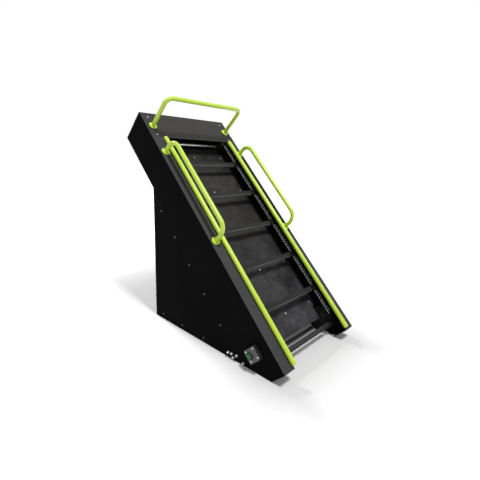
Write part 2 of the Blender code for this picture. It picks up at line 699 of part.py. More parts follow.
def green_tubes(material, ladder):
    """Green tubes: one along each rail, a grab handle on each rail and the top handle."""
    low, high = EDGE_TUBE_UP
    for name, side in (("left", -1), ("right", 1)):
        profile = [(0.0, low), (GREEN_RADIUS - EDGE_TUBE_ROUND, low), (GREEN_RADIUS, low + EDGE_TUBE_ROUND),
                   (GREEN_RADIUS, high - EDGE_TUBE_ROUND), (GREEN_RADIUS - EDGE_TUBE_ROUND, high), (0.0, high)]
        bm = bmesh.new()
        turned(bm, profile, "y", (side * EDGE_TUBE_X, GREEN_RADIUS + GAP), TUBE_SIDES)
        place(name + "_edge_tube", bm, material, ladder, smooth=True)
        x = side * GRAB_X
        low_end, high_end = GRAB_UP
        handle(name + "_grab_handle", [(x, low_end, GAP), (x, low_end, GRAB_RISE), (x, high_end, GRAB_RISE),
                                       (x, high_end, GAP)], GRAB_BEND, material, ladder)
    handle("top_handle", [(-TOP_HANDLE_X, TOP_HANDLE_UP, GAP), (-TOP_HANDLE_X, TOP_HANDLE_UP, TOP_HANDLE_RISE),
                          (TOP_HANDLE_X, TOP_HANDLE_UP, TOP_HANDLE_RISE),
                          (TOP_HANDLE_X, TOP_HANDLE_UP, GAP)], TOP_HANDLE_BEND, material, ladder)


def belt_outline(far, big, small, grow_by):
    """Outline of a belt round two pulleys: the big one at the origin, the small one at `far`."""
    steps = 10
    heading = math.atan2(far.y, far.x)
    lean = math.acos((big - small) / far.length)
    outline = []
    for centre, radius, start, turn in ((Vector((0.0, 0.0)), big, heading + lean, 2 * math.pi - 2 * lean),
                                        (far, small, heading - lean, 2 * lean)):
        for step in range(steps + 1):
            angle = start + step / steps * turn
            outline.append(centre + Vector((math.cos(angle), math.sin(angle))) * (radius + grow_by))
    return outline


def drive(paints, floor, top_axle, motor_axle):
    """Gear motor on its mount, pulleys and the belt up the right rail to the top shaft."""
    dark, steel, rubber, grey = paints
    bm = bmesh.new()
    pipe(bm, circle((0.0, 0.0), DRIVE_PULLEY_RADIUS, 32), circle((0.0, 0.0), bore(SHAFT_RADIUS, 32), 32),
         "x", *PULLEY_X)
    place("drive_pulley", bm, steel, top_axle, smooth=True)
    profile = [(0.0, GEARBOX_X[1] + GAP), (MOTOR_SHAFT_RADIUS, GEARBOX_X[1] + GAP),
               (MOTOR_SHAFT_RADIUS, PULLEY_X[0]), (MOTOR_PULLEY_RADIUS, PULLEY_X[0]),
               (MOTOR_PULLEY_RADIUS, PULLEY_X[1]), (0.0, PULLEY_X[1])]
    bm = bmesh.new()
    turned(bm, profile, "x", (0.0, 0.0), 24)
    place("motor_pulley", bm, steel, motor_axle, smooth=True)
    start = Vector(to_floor(TOP_AXLE_UP, -AXLE_DEPTH))
    far = Vector((MOTOR_Y, MOTOR_Z)) - start
    inner = belt_outline(far, DRIVE_PULLEY_RADIUS, MOTOR_PULLEY_RADIUS, BELT_CLEAR)
    outer = belt_outline(far, DRIVE_PULLEY_RADIUS, MOTOR_PULLEY_RADIUS, BELT_CLEAR + BELT_THICK)
    bm = bmesh.new()
    pipe(bm, [start + p for p in outer], [start + p for p in inner], "x", *BELT_X)
    place("drive_belt", bm, rubber, floor, smooth=True)
    bm = bmesh.new()
    half = GEARBOX_SIZE / 2
    box(bm, GEARBOX_X, (MOTOR_Y - half, MOTOR_Y + half), (MOTOR_Z - half, MOTOR_Z + half))
    motor = place("gear_motor", bm, dark, floor)
    bm = bmesh.new()
    rod(bm, "x", (MOTOR_Y, MOTOR_Z), MOTOR_RADIUS, MOTOR_X[0], MOTOR_X[1] + SHEET, 24)
    combine(motor, place("gear_motor_barrel", bm, dark, floor), "UNION")
    top = MOTOR_Z - MOTOR_RADIUS - GAP
    seat = TUBE_TOP + GAP
    outline = [(MOUNT_X[0], seat), (MOUNT_X[0] + PLATE, seat), (MOUNT_X[0] + PLATE, top - PLATE),
               (MOUNT_X[1] - PLATE, top - PLATE), (MOUNT_X[1] - PLATE, seat), (MOUNT_X[1], seat),
               (MOUNT_X[1], top), (MOUNT_X[0], top)]
    bm = bmesh.new()
    prism(bm, outline, "y", *MOUNT_Y)
    place("motor_mount", bm, grey, floor)
    bm = bmesh.new()
    box(bm, CONTROLLER_X, CONTROLLER_Y, (seat, seat + CONTROLLER_TALL))
    place("controller_box", bm, grey, floor)


def controls(paints, ladder, button_frame):
    """Control box, its plate and the start button on the left side."""
    dark, light, green = paints
    side = -HALF - GAP
    outer = side - SWITCH_PROUD
    middle_up = sum(SWITCH_UP) / 2
    middle_out = -sum(SWITCH_DEPTH) / 2
    tall = SWITCH_UP[1] - SWITCH_UP[0]
    wide = SWITCH_DEPTH[1] - SWITCH_DEPTH[0]

    def panel(less, corner, low, high):
        outline = rounded_rectangle(tall - 2 * less, wide - 2 * less, corner, 3)
        shape = bmesh.new()
        prism(shape, [(middle_up + a, middle_out + b) for a, b in outline], "x", low, high)
        return shape

    case = place("switch_box", panel(0.0, SWITCH_CORNER, outer, side), dark, ladder)
    cavity = panel(SWITCH_WALL, SWITCH_CORNER - SWITCH_WALL, outer - PLATE, side - SWITCH_WALL)
    combine(case, place("switch_box_inside", cavity, dark, ladder), "DIFFERENCE")
    plate = place("switch_plate", panel(SWITCH_MARGIN / 2, SWITCH_CORNER - SWITCH_MARGIN / 2,
                                        outer - GAP - SWITCH_PLATE, outer - GAP), light, ladder)
    bm = bmesh.new()
    rod(bm, "x", (BUTTON_AT[1], -BUTTON_AT[0]), bore(BUTTON_RADIUS, 24), outer - PLATE, outer, 24)
    combine(plate, place("switch_plate_hole", bm, light, ladder), "DIFFERENCE")
    bm = bmesh.new()
    rod(bm, "x", (0.0, 0.0), BUTTON_RADIUS, -BUTTON_PROUD, BUTTON_INSIDE, 24)
    place("start_button", bm, green, button_frame, smooth=True)


def build():
    for item in list(bpy.data.objects):
        bpy.data.objects.remove(item, do_unlink=True)
    black = paint("black powder coat", (0.012, 0.012, 0.013), 0.45)
    grey = paint("dark grey powder coat", (0.055, 0.055, 0.060), 0.5)
    frame_paint = paint("frame paint", (0.02, 0.02, 0.02), 0.5)
    lime = paint("lime green powder coat", (0.50, 0.75, 0.03), 0.35)
    steel = paint("bright steel", (0.60, 0.60, 0.60), 0.3, 1.0)
    dark_steel = paint("oiled chain steel", (0.10, 0.10, 0.10), 0.4, 1.0)
    rung_paint = paint("rung finish", (0.09, 0.09, 0.10), 0.5)
    rubber = paint("black rubber", (0.02, 0.02, 0.02), 0.8)
    plate_grey = paint("control plate", (0.25, 0.25, 0.25), 0.5)
    green = paint("button green", (0.03, 0.25, 0.05), 0.3)

    floor = empty("floor_frame", (X_SHIFT, -Y_MIDDLE, 0.0))
    ladder = empty("ladder_frame", (0.0, 0.0, FLOOR_RISE), floor, INCLINE)
    front = empty("front_run_frame", (0.0, 0.0, -RUN_DEPTH), ladder)
    back = empty("return_run_frame", (0.0, 0.0, -RETURN_DEPTH), ladder)
    top_axle = empty("top_axle_frame", (0.0, TOP_AXLE_UP, -AXLE_DEPTH), ladder)
    lower_axle = empty("lower_axle_frame", (0.0, LOWER_AXLE_UP, -AXLE_DEPTH), ladder)
    motor_axle = empty("motor_axle_frame", (0.0, MOTOR_Y, MOTOR_Z), floor)
    button_x = -HALF - 2 * GAP - SWITCH_PROUD - SWITCH_PLATE
    button_frame = empty("button_frame", (button_x, BUTTON_AT[1], -BUTTON_AT[0]), ladder)

    for name, side in (("left", -1), ("right", 1)):
        side_panel(name + "_side_panel", side, black, ladder)
        inner_plate(name + "_inner_plate", side, black, ladder)
        rear_panel(name + "_rear_panel", side, black, ladder)
    covers(grey, ladder, floor)
    frame(frame_paint, floor)
    feet(rubber, floor)
    deck(grey, ladder)
    rungs_and_chains(rung_paint, dark_steel, (front, back, top_axle, lower_axle))
    shafts(steel, frame_paint, ladder, top_axle)
    green_tubes(lime, ladder)
    drive((frame_paint, dark_steel, rubber, grey), floor, top_axle, motor_axle)
    controls((black, plate_grey, green), ladder, button_frame)


build()
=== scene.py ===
"""Incline ladder climber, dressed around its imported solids, in the order it is put together.

Two frames are used besides the room's: `ladder` has x to the right, y up the incline and z out of
the rails' front face, and `ground` has y backwards from the rails' lower front corner and z up.
"""
import math

import bmesh
import bpy
from mathutils import Matrix, Vector


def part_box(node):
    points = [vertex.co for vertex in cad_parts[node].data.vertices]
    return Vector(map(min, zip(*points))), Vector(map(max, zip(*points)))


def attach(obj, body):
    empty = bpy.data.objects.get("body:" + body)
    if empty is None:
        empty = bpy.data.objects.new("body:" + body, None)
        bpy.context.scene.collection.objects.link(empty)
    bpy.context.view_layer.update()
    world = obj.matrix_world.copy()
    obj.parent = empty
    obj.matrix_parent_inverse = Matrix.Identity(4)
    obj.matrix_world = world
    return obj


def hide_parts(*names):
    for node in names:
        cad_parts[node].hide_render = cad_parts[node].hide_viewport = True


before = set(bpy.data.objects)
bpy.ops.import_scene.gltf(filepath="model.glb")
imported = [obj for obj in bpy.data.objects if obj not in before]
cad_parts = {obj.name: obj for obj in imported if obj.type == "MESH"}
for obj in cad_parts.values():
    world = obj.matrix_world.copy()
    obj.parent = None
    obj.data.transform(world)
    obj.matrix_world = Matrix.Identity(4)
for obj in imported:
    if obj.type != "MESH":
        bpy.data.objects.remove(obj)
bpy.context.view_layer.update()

# Studio. A white floor under a white sky. A long soft box high in front lights the faces that look
# up, a weaker one high behind throws the soft shadow that ends just before the front feet.
scene = bpy.context.scene
scene.view_settings.view_transform = "Standard"


def wire(tree, kind, inputs=None, **settings):
    """A shader node with its inputs set to numbers or joined to other nodes' sockets."""
    made = tree.nodes.new("ShaderNode" + kind)
    for key, value in settings.items():
        setattr(made, key, value)
    for key, value in (inputs or {}).items():
        if isinstance(value, bpy.types.NodeSocket):
            tree.links.new(value, made.inputs[key])
        else:
            made.inputs[key].default_value = value
    return made


def seen_rays(tree):
    """1 for rays that the camera, a gloss or a glass sends, and 0 for light on a matt surface."""
    path = wire(tree, "LightPath").outputs
    seen = path["Is Camera Ray"]
    for ray in ("Is Transmission Ray", "Is Glossy Ray"):
        seen = wire(tree, "Math", {0: seen, 1: path[ray]}, operation="MAXIMUM").outputs[0]
    return seen


WHITE = (1.0, 1.0, 1.0, 1.0)
FLOOR_WHITE = (0.80, 0.80, 0.80, 1.0)
FLOOR_HALF = 30.0
# The floor glows a little to the camera near the machine, and is full white past LIFT_TO
NEAR_LIFT = 0.08
FAR_LIFT = 1.0
LIFT_FROM = 0.95
LIFT_TO = 2.6
floor_mesh = bpy.data.meshes.new("studio_floor")
bm = bmesh.new()
bmesh.ops.create_grid(bm, x_segments=1, y_segments=1, size=FLOOR_HALF)
bm.to_mesh(floor_mesh)
bm.free()
floor_paper = bpy.data.materials.new("studio floor")
floor_paper.use_nodes = True
tree = floor_paper.node_tree
tree.nodes.remove(tree.nodes["Principled BSDF"])
matt = wire(tree, "BsdfDiffuse", {"Color": FLOOR_WHITE})
spot = wire(tree, "TexCoord").outputs["Object"]
from_middle = wire(tree, "VectorMath", {0: spot}, operation="LENGTH").outputs["Value"]
away = wire(tree, "MapRange",
            {"Value": from_middle, "From Min": LIFT_FROM, "From Max": LIFT_TO,
             "To Min": NEAR_LIFT, "To Max": FAR_LIFT}, interpolation_type="SMOOTHSTEP")
lift = wire(tree, "Math", {0: seen_rays(tree), 1: away.outputs[0]}, operation="MULTIPLY")
glow = wire(tree, "Emission", {"Color": WHITE, "Strength": lift.outputs[0]})
both = wire(tree, "AddShader", {0: matt.outputs[0], 1: glow.outputs[0]})
tree.links.new(both.outputs[0], tree.nodes["Material Output"].inputs["Surface"])
floor_mesh.materials.append(floor_paper)
studio_floor = bpy.data.objects.new("studio_floor", floor_mesh)
scene.collection.objects.link(studio_floor)

SKY_LEVEL = 0.26
sky = bpy.data.worlds.new("studio sky")
scene.world = sky
sky.use_nodes = True
tree = sky.node_tree
level = wire(tree, "MapRange", {"Value": seen_rays(tree), "To Min": SKY_LEVEL, "To Max": 1.0})
tree.links.new(level.outputs[0], tree.nodes["Background"].inputs["Strength"])
tree.nodes["Background"].inputs["Color"].default_value = WHITE

MACHINE_MIDDLE = (0.0, 0.1, 0.6)


def soft_box(name, place, wide, tall, watts):
    """An area lamp turned towards the middle of the machine."""
    lamp = bpy.data.lights.new(name, "AREA")
    lamp.shape = "RECTANGLE"
    lamp.size = wide
    lamp.size_y = tall
    lamp.energy = watts
    made = bpy.data.objects.new(name, lamp)
    made.location = place
    aim = Vector(MACHINE_MIDDLE) - Vector(place)
    made.rotation_euler = aim.to_track_quat("-Z", "Y").to_euler()
    scene.collection.objects.link(made)


soft_box("front_box", (-0.68, -3.7, 8.8), 1.1, 1.7, 560.0)
soft_box("rear_box", (0.12, 6.24, 7.18), 1.0, 0.9, 540.0)

CAMERA_PLACE = (-1.79448, -1.71566, 1.26916)
CAMERA_TURN = (75.94951, -2.03307, -46.74627)
SENSOR_MM = 36.0
LENS_MM = 25.4477
camera_data = bpy.data.cameras.new("camera")
camera_data.sensor_width = SENSOR_MM
camera_data.lens = LENS_MM
camera = bpy.data.objects.new("camera", camera_data)
camera.location = CAMERA_PLACE
camera.rotation_euler = [math.radians(turn) for turn in CAMERA_TURN]
scene.collection.objects.link(camera)
scene.camera = camera

# Sloping housing. Folded 2 mm steel sheet, powder coated black, makes each side with its rail's
# front face and lower end. The plates inside carry the shafts, and triangles close the rear sides.
INCLINE = math.radians(45.7)
SINK = 0.126
HALF = 0.416
SIDES = (("left", -1.0), ("right", 1.0))
low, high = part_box("left_side_panel")[0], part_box("right_side_panel")[1]
ground = Matrix.Translation(((low.x + high.x) / 2, low.y, 0.0))
raised = Matrix.Translation((0.0, 0.0, SINK * math.cos(INCLINE)))
ladder = ground @ raised @ Matrix.Rotation(INCLINE, 4, "X")
to_ladder = ladder.inverted()


def group(name, inputs, outputs):
    """An empty shader group with named sockets, and its two end nodes."""
    tree = bpy.data.node_groups.new(name, "ShaderNodeTree")
    for word, kind, value in inputs:
        socket = tree.interface.new_socket(word, in_out="INPUT", socket_type="NodeSocket" + kind)
        socket.default_value = value
    for word, kind in outputs:
        tree.interface.new_socket(word, in_out="OUTPUT", socket_type="NodeSocket" + kind)
    start = tree.nodes.new("NodeGroupInput")
    end = tree.nodes.new("NodeGroupOutput")
    return tree, start.outputs, end.inputs


def noise(tree, place, scale, detail=3.0, rough=0.5):
    return wire(tree, "TexNoise", {"Vector": place, "Scale": scale, "Detail": detail,
                                   "Roughness": rough}).outputs["Fac"]


def ramp(tree, value, low, high, to_low=0.0, to_high=1.0):
    return wire(tree, "MapRange", {"Value": value, "From Min": low, "From Max": high,
                                   "To Min": to_low, "To Max": to_high}).outputs[0]


def maths(tree, operation, a, b):
    return wire(tree, "Math", {0: a, 1: b}, operation=operation).outputs[0]


def blend(tree, share, a, b):
    """A colour between two."""
    return wire(tree, "Mix", {0: share, 6: a, 7: b}, data_type="RGBA").outputs[2]


def object_place(tree):
    return wire(tree, "TexCoord").outputs["Object"]


def looking_up(tree, low, high):
    """A mask of the faces that look up, by the height of their normal."""
    normal = wire(tree, "SeparateXYZ", {0: wire(tree, "NewGeometry").outputs["Normal"]})
    return ramp(tree, normal.outputs[2], low, high)


# Dust that settles on faces that look up, in soft clouds with finer specks
settled_dust, given, put = group(
    "settled dust",
    [("Colour", "Color", (0.0, 0.0, 0.0, 1.0)), ("Dust", "Color", (0.3, 0.28, 0.25, 1.0)),
     ("Amount", "Float", 0.1), ("Cloud Scale", "Float", 5.0)],
    [("Colour", "Color")])
spot = object_place(settled_dust)
cloud_noise = noise(settled_dust, spot, given["Cloud Scale"], 4.0, 0.6)
speck_noise = noise(settled_dust, spot, 260.0, 2.0)
lying = maths(settled_dust, "MULTIPLY", looking_up(settled_dust, 0.1, 0.9),
              ramp(settled_dust, cloud_noise, 0.35, 0.75))
specks = maths(settled_dust, "MULTIPLY", ramp(settled_dust, speck_noise, 0.45, 0.75, 0.5, 1.3),
               given["Amount"])
mask = maths(settled_dust, "MULTIPLY", lying, specks)
settled_dust.links.new(blend(settled_dust, mask, given["Colour"], given["Dust"]), put["Colour"])

# Powder coat: the fine orange peel of baked powder, its slow change of shade, dust on top, and a
# painted highlight on faces that look up
powder_coat, given, put = group(
    "powder coat",
    [("Coat", "Color", (0.02, 0.02, 0.02, 1.0)), ("Bloom", "Color", (0.05, 0.05, 0.05, 1.0)),
     ("Bloom Amount", "Float", 0.5), ("Bloom Scale", "Float", 3.0),
     ("Sheen Level", "Float", 0.45), ("Peel", "Float", 0.3), ("Dust Amount", "Float", 0.05),
     ("Film", "Color", (0.05, 0.05, 0.053, 1.0)), ("Film Amount", "Float", 0.0)],
    [("Base Color", "Color"), ("Roughness", "Float"), ("Normal", "Vector")])
spot = object_place(powder_coat)
patches = noise(powder_coat, spot, given["Bloom Scale"], 5.0, 0.62)
patches = ramp(powder_coat, patches, 0.38, 0.68)
grain = noise(powder_coat, spot, 420.0, 2.0)
share = maths(powder_coat, "MULTIPLY", patches, given["Bloom Amount"])
coat = blend(powder_coat, share, given["Coat"], given["Bloom"])
flecks = ramp(powder_coat, grain, 0.5, 0.8, 0.0, 0.35)
flecked = blend(powder_coat, flecks, coat, given["Bloom"])
# Painted highlight: faces that look up are painted towards a lighter colour, as if lit from above
highlight_share = maths(powder_coat, "MULTIPLY", looking_up(powder_coat, 0.15, 0.65), given["Film Amount"])
highlight_share = maths(powder_coat, "MULTIPLY", highlight_share, ramp(powder_coat, patches, 0.0, 1.0, 0.8, 1.0))
highlighted = blend(powder_coat, highlight_share, flecked, given["Film"])
dusted = wire(powder_coat, "Group", {"Colour": highlighted, "Amount": given["Dust Amount"]},
              node_tree=settled_dust)
powder_coat.links.new(dusted.outputs["Colour"], put["Base Color"])
rough = given["Sheen Level"]
for change in (ramp(powder_coat, patches, 0.0, 1.0, -0.05, 0.09),
               ramp(powder_coat, grain, 0.3, 0.7, -0.03, 0.03)):
    rough = maths(powder_coat, "ADD", rough, change)
powder_coat.links.new(rough, put["Roughness"])
peel = wire(powder_coat, "Bump", {"Strength": given["Peel"], "Distance": 0.0005,
                                  "Height": noise(powder_coat, spot, 700.0, 3.0, 0.6)})
powder_coat.links.new(peel.outputs[0], put["Normal"])


def finish(name, look, **values):
    """A material whose changing sockets come from a shader group, set by that group's inputs."""
    material = bpy.data.materials.new(name)
    material.use_nodes = True
    tree = material.node_tree
    shader = tree.nodes["Principled BSDF"]
    made = wire(tree, "Group", node_tree=look)
    for key, value in values.items():
        word = key.replace("_", " ")
        (made if word in made.inputs else shader).inputs[word].default_value = value
    for out in made.outputs:
        tree.links.new(out, shader.inputs[out.name])
    return material


def grey(value, tint=0.0):
    """A near-neutral colour; tint is its share of blue over red."""
    return (value * (1.0 - tint), value, value * (1.0 + tint), 1.0)


SHARP = math.radians(35)
NEARLY_FLAT = math.radians(0.6)
TOUCHING = 1e-6


def solid_of(node):
    """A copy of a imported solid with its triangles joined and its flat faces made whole."""
    bm = bmesh.new()
    bm.from_mesh(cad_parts[node].data)
    bmesh.ops.remove_doubles(bm, verts=bm.verts, dist=TOUCHING)
    bmesh.ops.dissolve_limit(bm, angle_limit=NEARLY_FLAT, verts=bm.verts, edges=bm.edges)
    return bm


def round_edges(bm, radius, segments=2, which=None):
    """Round off the sharp edges, or those of them that `which` picks."""
    edges = [edge for edge in bm.edges if len(edge.link_faces) == 2
             and edge.calc_face_angle(0.0) > SHARP and (which is None or which(edge))]
    made = bmesh.ops.bevel(bm, geom=edges, offset=radius, offset_type="OFFSET", segments=segments,
                           profile=0.5, affect="EDGES", clamp_overlap=True, material=-1)
    for face in made["faces"]:
        face.smooth = True


def piece(name, bm, material, place=None, body="housing", nodes=(), smooth=0,
          second=None):
    """Set a mesh down as a finished piece on its body, in place of the nodes it stands for."""
    if place is not None:
        bmesh.ops.transform(bm, matrix=place, verts=bm.verts)
    mesh = bpy.data.meshes.new(name)
    bm.to_mesh(mesh)
    bm.free()
    mesh.materials.append(material)
    if second:
        mesh.materials.append(second)
    if smooth:
        mesh.shade_smooth()
        mesh.set_sharp_from_angle(angle=math.radians(smooth))
    made = bpy.data.objects.new(name, mesh)
    scene.collection.objects.link(made)
    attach(made, body)
    if nodes:
        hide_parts(*nodes)


def sheet_piece(node, material, edge=0.0007, fold=None, fold_radius=0.0028):
    """A packed sheet or tube part with its cut edges eased and its outer folds rounded."""
    bm = solid_of(node)
    if fold:
        round_edges(bm, fold_radius, 4, fold)
    round_edges(bm, edge)
    piece(node + "_sheet", bm, material, nodes=[node])


# Its faces that look up, the rails' fronts among them, are painted a lighter grey: a painted
# highlight, as if lit from above
side_black = finish(
    "black powder coat", powder_coat, Coat=grey(0.0055), Bloom=grey(0.010), Bloom_Amount=0.6,
    Bloom_Scale=2.2, Sheen_Level=0.55, Peel=0.25, Dust_Amount=0.03,
    Film=(0.086, 0.083, 0.087, 1.0), Film_Amount=0.95, Specular_IOR_Level=0.004)
inner_black = finish(
    "inner black coat", powder_coat, Coat=grey(0.004), Bloom=grey(0.007), Bloom_Amount=0.4,
    Bloom_Scale=4.0, Sheen_Level=0.65, Peel=0.2, Dust_Amount=0.02, Specular_IOR_Level=0.02)
CLOSE = 2e-4
OUTER_SKIN = HALF - 0.0005
SEAM_BAND = (-0.285, -0.27)
PANEL_EDGE = 0.0009


def outer_fold(edge):
    """True for an edge on the front face or the lower end, where the sheet is folded."""
    a, b = (to_ladder @ vert.co for vert in edge.verts)
    in_front = abs(a.z) < CLOSE and abs(b.z) < CLOSE
    at_end = abs(a.y) < CLOSE and abs(b.y) < CLOSE
    return min(abs(a.x), abs(b.x)) >= OUTER_SKIN and (in_front or at_end)


def seam_edge(edge):
    """True for the rear panel's outer edge along the seam, rolled over to hide the cut."""
    a, b = (to_ladder @ vert.co for vert in edge.verts)
    along_seam = abs(a.z - b.z) < CLOSE and SEAM_BAND[0] < a.z < SEAM_BAND[1]
    return min(abs(a.x), abs(b.x)) > OUTER_SKIN and along_seam and abs(a.y - b.y) > 0.5


for side, _ in SIDES:
    sheet_piece(side + "_side_panel", side_black, PANEL_EDGE, outer_fold)
    sheet_piece(side + "_inner_plate", inner_black)
    sheet_piece(side + "_rear_panel", side_black, PANEL_EDGE, seam_edge, 0.0019)

# Covers. The top cover closes the ladder's upper end with a folded lip, the back cover the slope
# behind it and the rear cover the upright back. Powder coated 2 mm sheet, screwed on.
TOP = 2.041
cover_grey = finish(
    "grey powder coat", powder_coat, Coat=(0.034, 0.032, 0.031, 1.0),
    Bloom=(0.046, 0.044, 0.042, 1.0), Bloom_Amount=0.8, Bloom_Scale=3.5, Sheen_Level=0.5, Peel=0.3,
    Dust_Amount=0.04, Specular_IOR_Level=0.12)


def cover_fold(edge):
    """True for the cover's bend over the ladder's upper end."""
    return all(abs(p.z) < CLOSE and abs(p.y - TOP) < CLOSE
               for p in (to_ladder @ vert.co for vert in edge.verts))


sheet_piece("top_cover", cover_grey, fold=cover_fold)
sheet_piece("back_cover", side_black)
sheet_piece("rear_cover", side_black)

# Frame. Welded rectangular steel tube, painted black: a floor tube and a post on each side, three
# tubes across, and a flat tie plate low between the front ends. It stands on rubber feet.
frame_black = finish(
    "frame paint", powder_coat, Coat=grey(0.010), Bloom=grey(0.02), Bloom_Amount=0.5,
    Bloom_Scale=6.0, Sheen_Level=0.45, Peel=0.15, Dust_Amount=0.08, Specular_IOR_Level=0.15)
# The tie plate is painted pale grey, a painted highlight for light it doesn't get in the shade
# under the deck
tie_plate_painted_lit = finish(
    "tie plate painted lit", powder_coat, Coat=grey(0.42, 0.02), Bloom=grey(0.5, 0.02), Bloom_Amount=0.6,
    Bloom_Scale=5.0, Sheen_Level=0.5, Peel=0.15, Dust_Amount=0.2, Specular_IOR_Level=0.3)
for node in ("left_frame", "right_frame", "front_cross_tube", "middle_cross_tube",
             "rear_cross_tube"):
    sheet_piece(node, frame_black, edge=0.0011)
sheet_piece("floor_tie_plate", tie_plate_painted_lit, edge=0.0006)

# Moulded rubber or plastic: a fine pebbled grain and scuffs that turn it paler
moulded, given, put = group(
    "moulded grain",
    [("Colour", "Color", (0.02, 0.02, 0.02, 1.0)), ("Scuff", "Color", (0.08, 0.08, 0.08, 1.0)),
     ("Scuff Amount", "Float", 0.3), ("Grain Scale", "Float", 900.0),
     ("Roughness Level", "Float", 0.6)],
    [("Base Color", "Color"), ("Roughness", "Float"), ("Normal", "Vector")])
spot = object_place(moulded)
scuffs = ramp(moulded, noise(moulded, spot, 22.0, 5.0, 0.7), 0.5, 0.75)
share = maths(moulded, "MULTIPLY", scuffs, given["Scuff Amount"])
moulded.links.new(blend(moulded, share, given["Colour"], given["Scuff"]), put["Base Color"])
rubbed = ramp(moulded, scuffs, 0.0, 1.0, -0.04, 0.1)
moulded.links.new(maths(moulded, "ADD", given["Roughness Level"], rubbed), put["Roughness"])
pebbles = wire(moulded, "TexVoronoi", {"Vector": spot, "Scale": given["Grain Scale"]})
pebble_bump = wire(moulded, "Bump", {"Strength": 0.25, "Distance": 0.0004,
                                     "Height": pebbles.outputs["Distance"]})
moulded.links.new(pebble_bump.outputs[0], put["Normal"])

foot_rubber = finish(
    "foot rubber", moulded, Colour=grey(0.012), Scuff=grey(0.06), Scuff_Amount=0.6,
    Grain_Scale=600.0, Roughness_Level=0.78)


def turned(profile, steps=32):
    """A lathe-turned solid about z, from (radius, along) points that start and end on the axis."""
    bm = bmesh.new()
    verts = [bm.verts.new((radius, 0.0, along)) for radius, along in profile]
    edges = [bm.edges.new(pair) for pair in zip(verts, verts[1:])]
    bmesh.ops.spin(bm, geom=verts + edges, cent=(0.0, 0.0, 0.0), axis=(0.0, 0.0, 1.0),
                   angle=2 * math.pi, steps=steps, use_merge=True)
    bmesh.ops.remove_doubles(bm, verts=bm.verts, dist=TOUCHING)
    bmesh.ops.recalc_face_normals(bm, faces=bm.faces)
    return bm


def pattern(bm):
    """A mesh kept to be stamped into others."""
    bmesh.ops.recalc_face_normals(bm, faces=bm.faces)
    mesh = bpy.data.meshes.new("pattern")
    bm.to_mesh(mesh)
    bm.free()
    return mesh


def stamp(bm, mesh, places):
    """Add a copy of a pattern to a mesh at each place."""
    for place in places:
        count = len(bm.verts)
        bm.from_mesh(mesh)
        bm.verts.ensure_lookup_table()
        bmesh.ops.transform(bm, matrix=place, verts=bm.verts[count:])
        if place.determinant() < 0.0:
            bm.faces.ensure_lookup_table()
            bmesh.ops.reverse_faces(bm, faces=bm.faces[-len(mesh.polygons):])


def stamped(*groups):
    """A new mesh with patterns stamped into it, from (pattern, places) pairs."""
    bm = bmesh.new()
    for mesh, places in groups:
        stamp(bm, mesh, places)
    return bm


for node in (f"{end}_{side}_foot" for end in ("front", "rear") for side, _ in SIDES):
    low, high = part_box(node)
    r, tall = (high.x - low.x) / 2, high.z - low.z
    profile = [(0.0, 0.0008), (r * 0.55, 0.0008), (r * 0.6, 0.0), (r * 0.9, 0.0), (r, 0.0012),
               (r, tall * 0.5), (r * 0.93, tall * 0.62), (r * 0.93, tall * 0.85),
               (r * 0.88, tall), (0.0, tall)]
    stand = Matrix.Translation(((low.x + high.x) / 2, (low.y + high.y) / 2, low.z))
    piece(node + "_pad", turned(profile), foot_rubber, stand, nodes=[node],
          smooth=50)

# Kick deck. A 3 mm steel sheet between the two runs of rungs, on six tubes welded behind it.
# Shoes have left it dusty, paler and a little brown between the rungs.
deck_coat, given, put = group(
    "trodden deck",
    [("Coat", "Color", grey(0.02)), ("Dust", "Color", (0.085, 0.078, 0.07, 1.0)),
     ("Low Dust", "Color", (0.07, 0.07, 0.075, 1.0)), ("Amount", "Float", 0.5)],
    [("Base Color", "Color"), ("Roughness", "Float"), ("Normal", "Vector")])
spot = object_place(deck_coat)
clouds = ramp(deck_coat, noise(deck_coat, spot, 4.5, 5.0, 0.6), 0.36, 0.66)
swirls = ramp(deck_coat, noise(deck_coat, spot, 21.0, 4.0, 0.65), 0.35, 0.7, 0.35, 1.0)
share = maths(deck_coat, "MULTIPLY", maths(deck_coat, "MULTIPLY", clouds, swirls), given["Amount"])
level = looking_up(deck_coat, 0.1, 0.6)
share = maths(deck_coat, "MULTIPLY", share, level)
height = wire(deck_coat, "SeparateXYZ", {0: spot}).outputs[2]
height = maths(deck_coat, "ADD", height, ramp(deck_coat, clouds, 0.0, 1.0, -0.15, 0.15))
warmth = ramp(deck_coat, height, 0.25, 0.75)
dust = blend(deck_coat, warmth, given["Low Dust"], given["Dust"])
trodden = blend(deck_coat, share, given["Coat"], dust)
fine = noise(deck_coat, spot, 380.0, 3.0)
speckle = maths(deck_coat, "MULTIPLY", ramp(deck_coat, fine, 0.5, 0.85, 0.0, 0.4), level)
deck_coat.links.new(blend(deck_coat, speckle, trodden, dust), put["Base Color"])
deck_coat.links.new(ramp(deck_coat, share, 0.0, 0.5, 0.42, 0.72), put["Roughness"])
deck_bump = wire(deck_coat, "Bump", {"Strength": 0.3, "Distance": 0.0006, "Height": fine})
deck_coat.links.new(deck_bump.outputs[0], put["Normal"])

deck_grey = finish(
    "deck coat", deck_coat, Coat=grey(0.020, 0.03), Dust=(0.092, 0.082, 0.075, 1.0),
    Low_Dust=(0.128, 0.126, 0.142, 1.0), Amount=0.72, Specular_IOR_Level=0.08)
sheet_piece("deck", deck_grey, edge=0.0008)

# Rungs. Aluminium tube with rounded corners and five grip grooves in its tread, anodised dark
# grey, bolted between the carriers of the two chains. The face that looks down the incline is
# painted pale: painted light from the floor.
RUNG_TALL = 0.036
RUNG_THICK = 0.028
RUNG_LONG = 0.560
RUNG_CORNER = 0.008
RUNG_PITCH = 0.300
RUNGS = 6
FIRST_FRONT_RUNG = 0.378
FIRST_RETURN_RUNG = 1.801
GROOVES = 5
GROOVE_WIDE = 0.0022
GROOVE_PITCH = 0.0044
GROOVE_DEEP = 0.0009
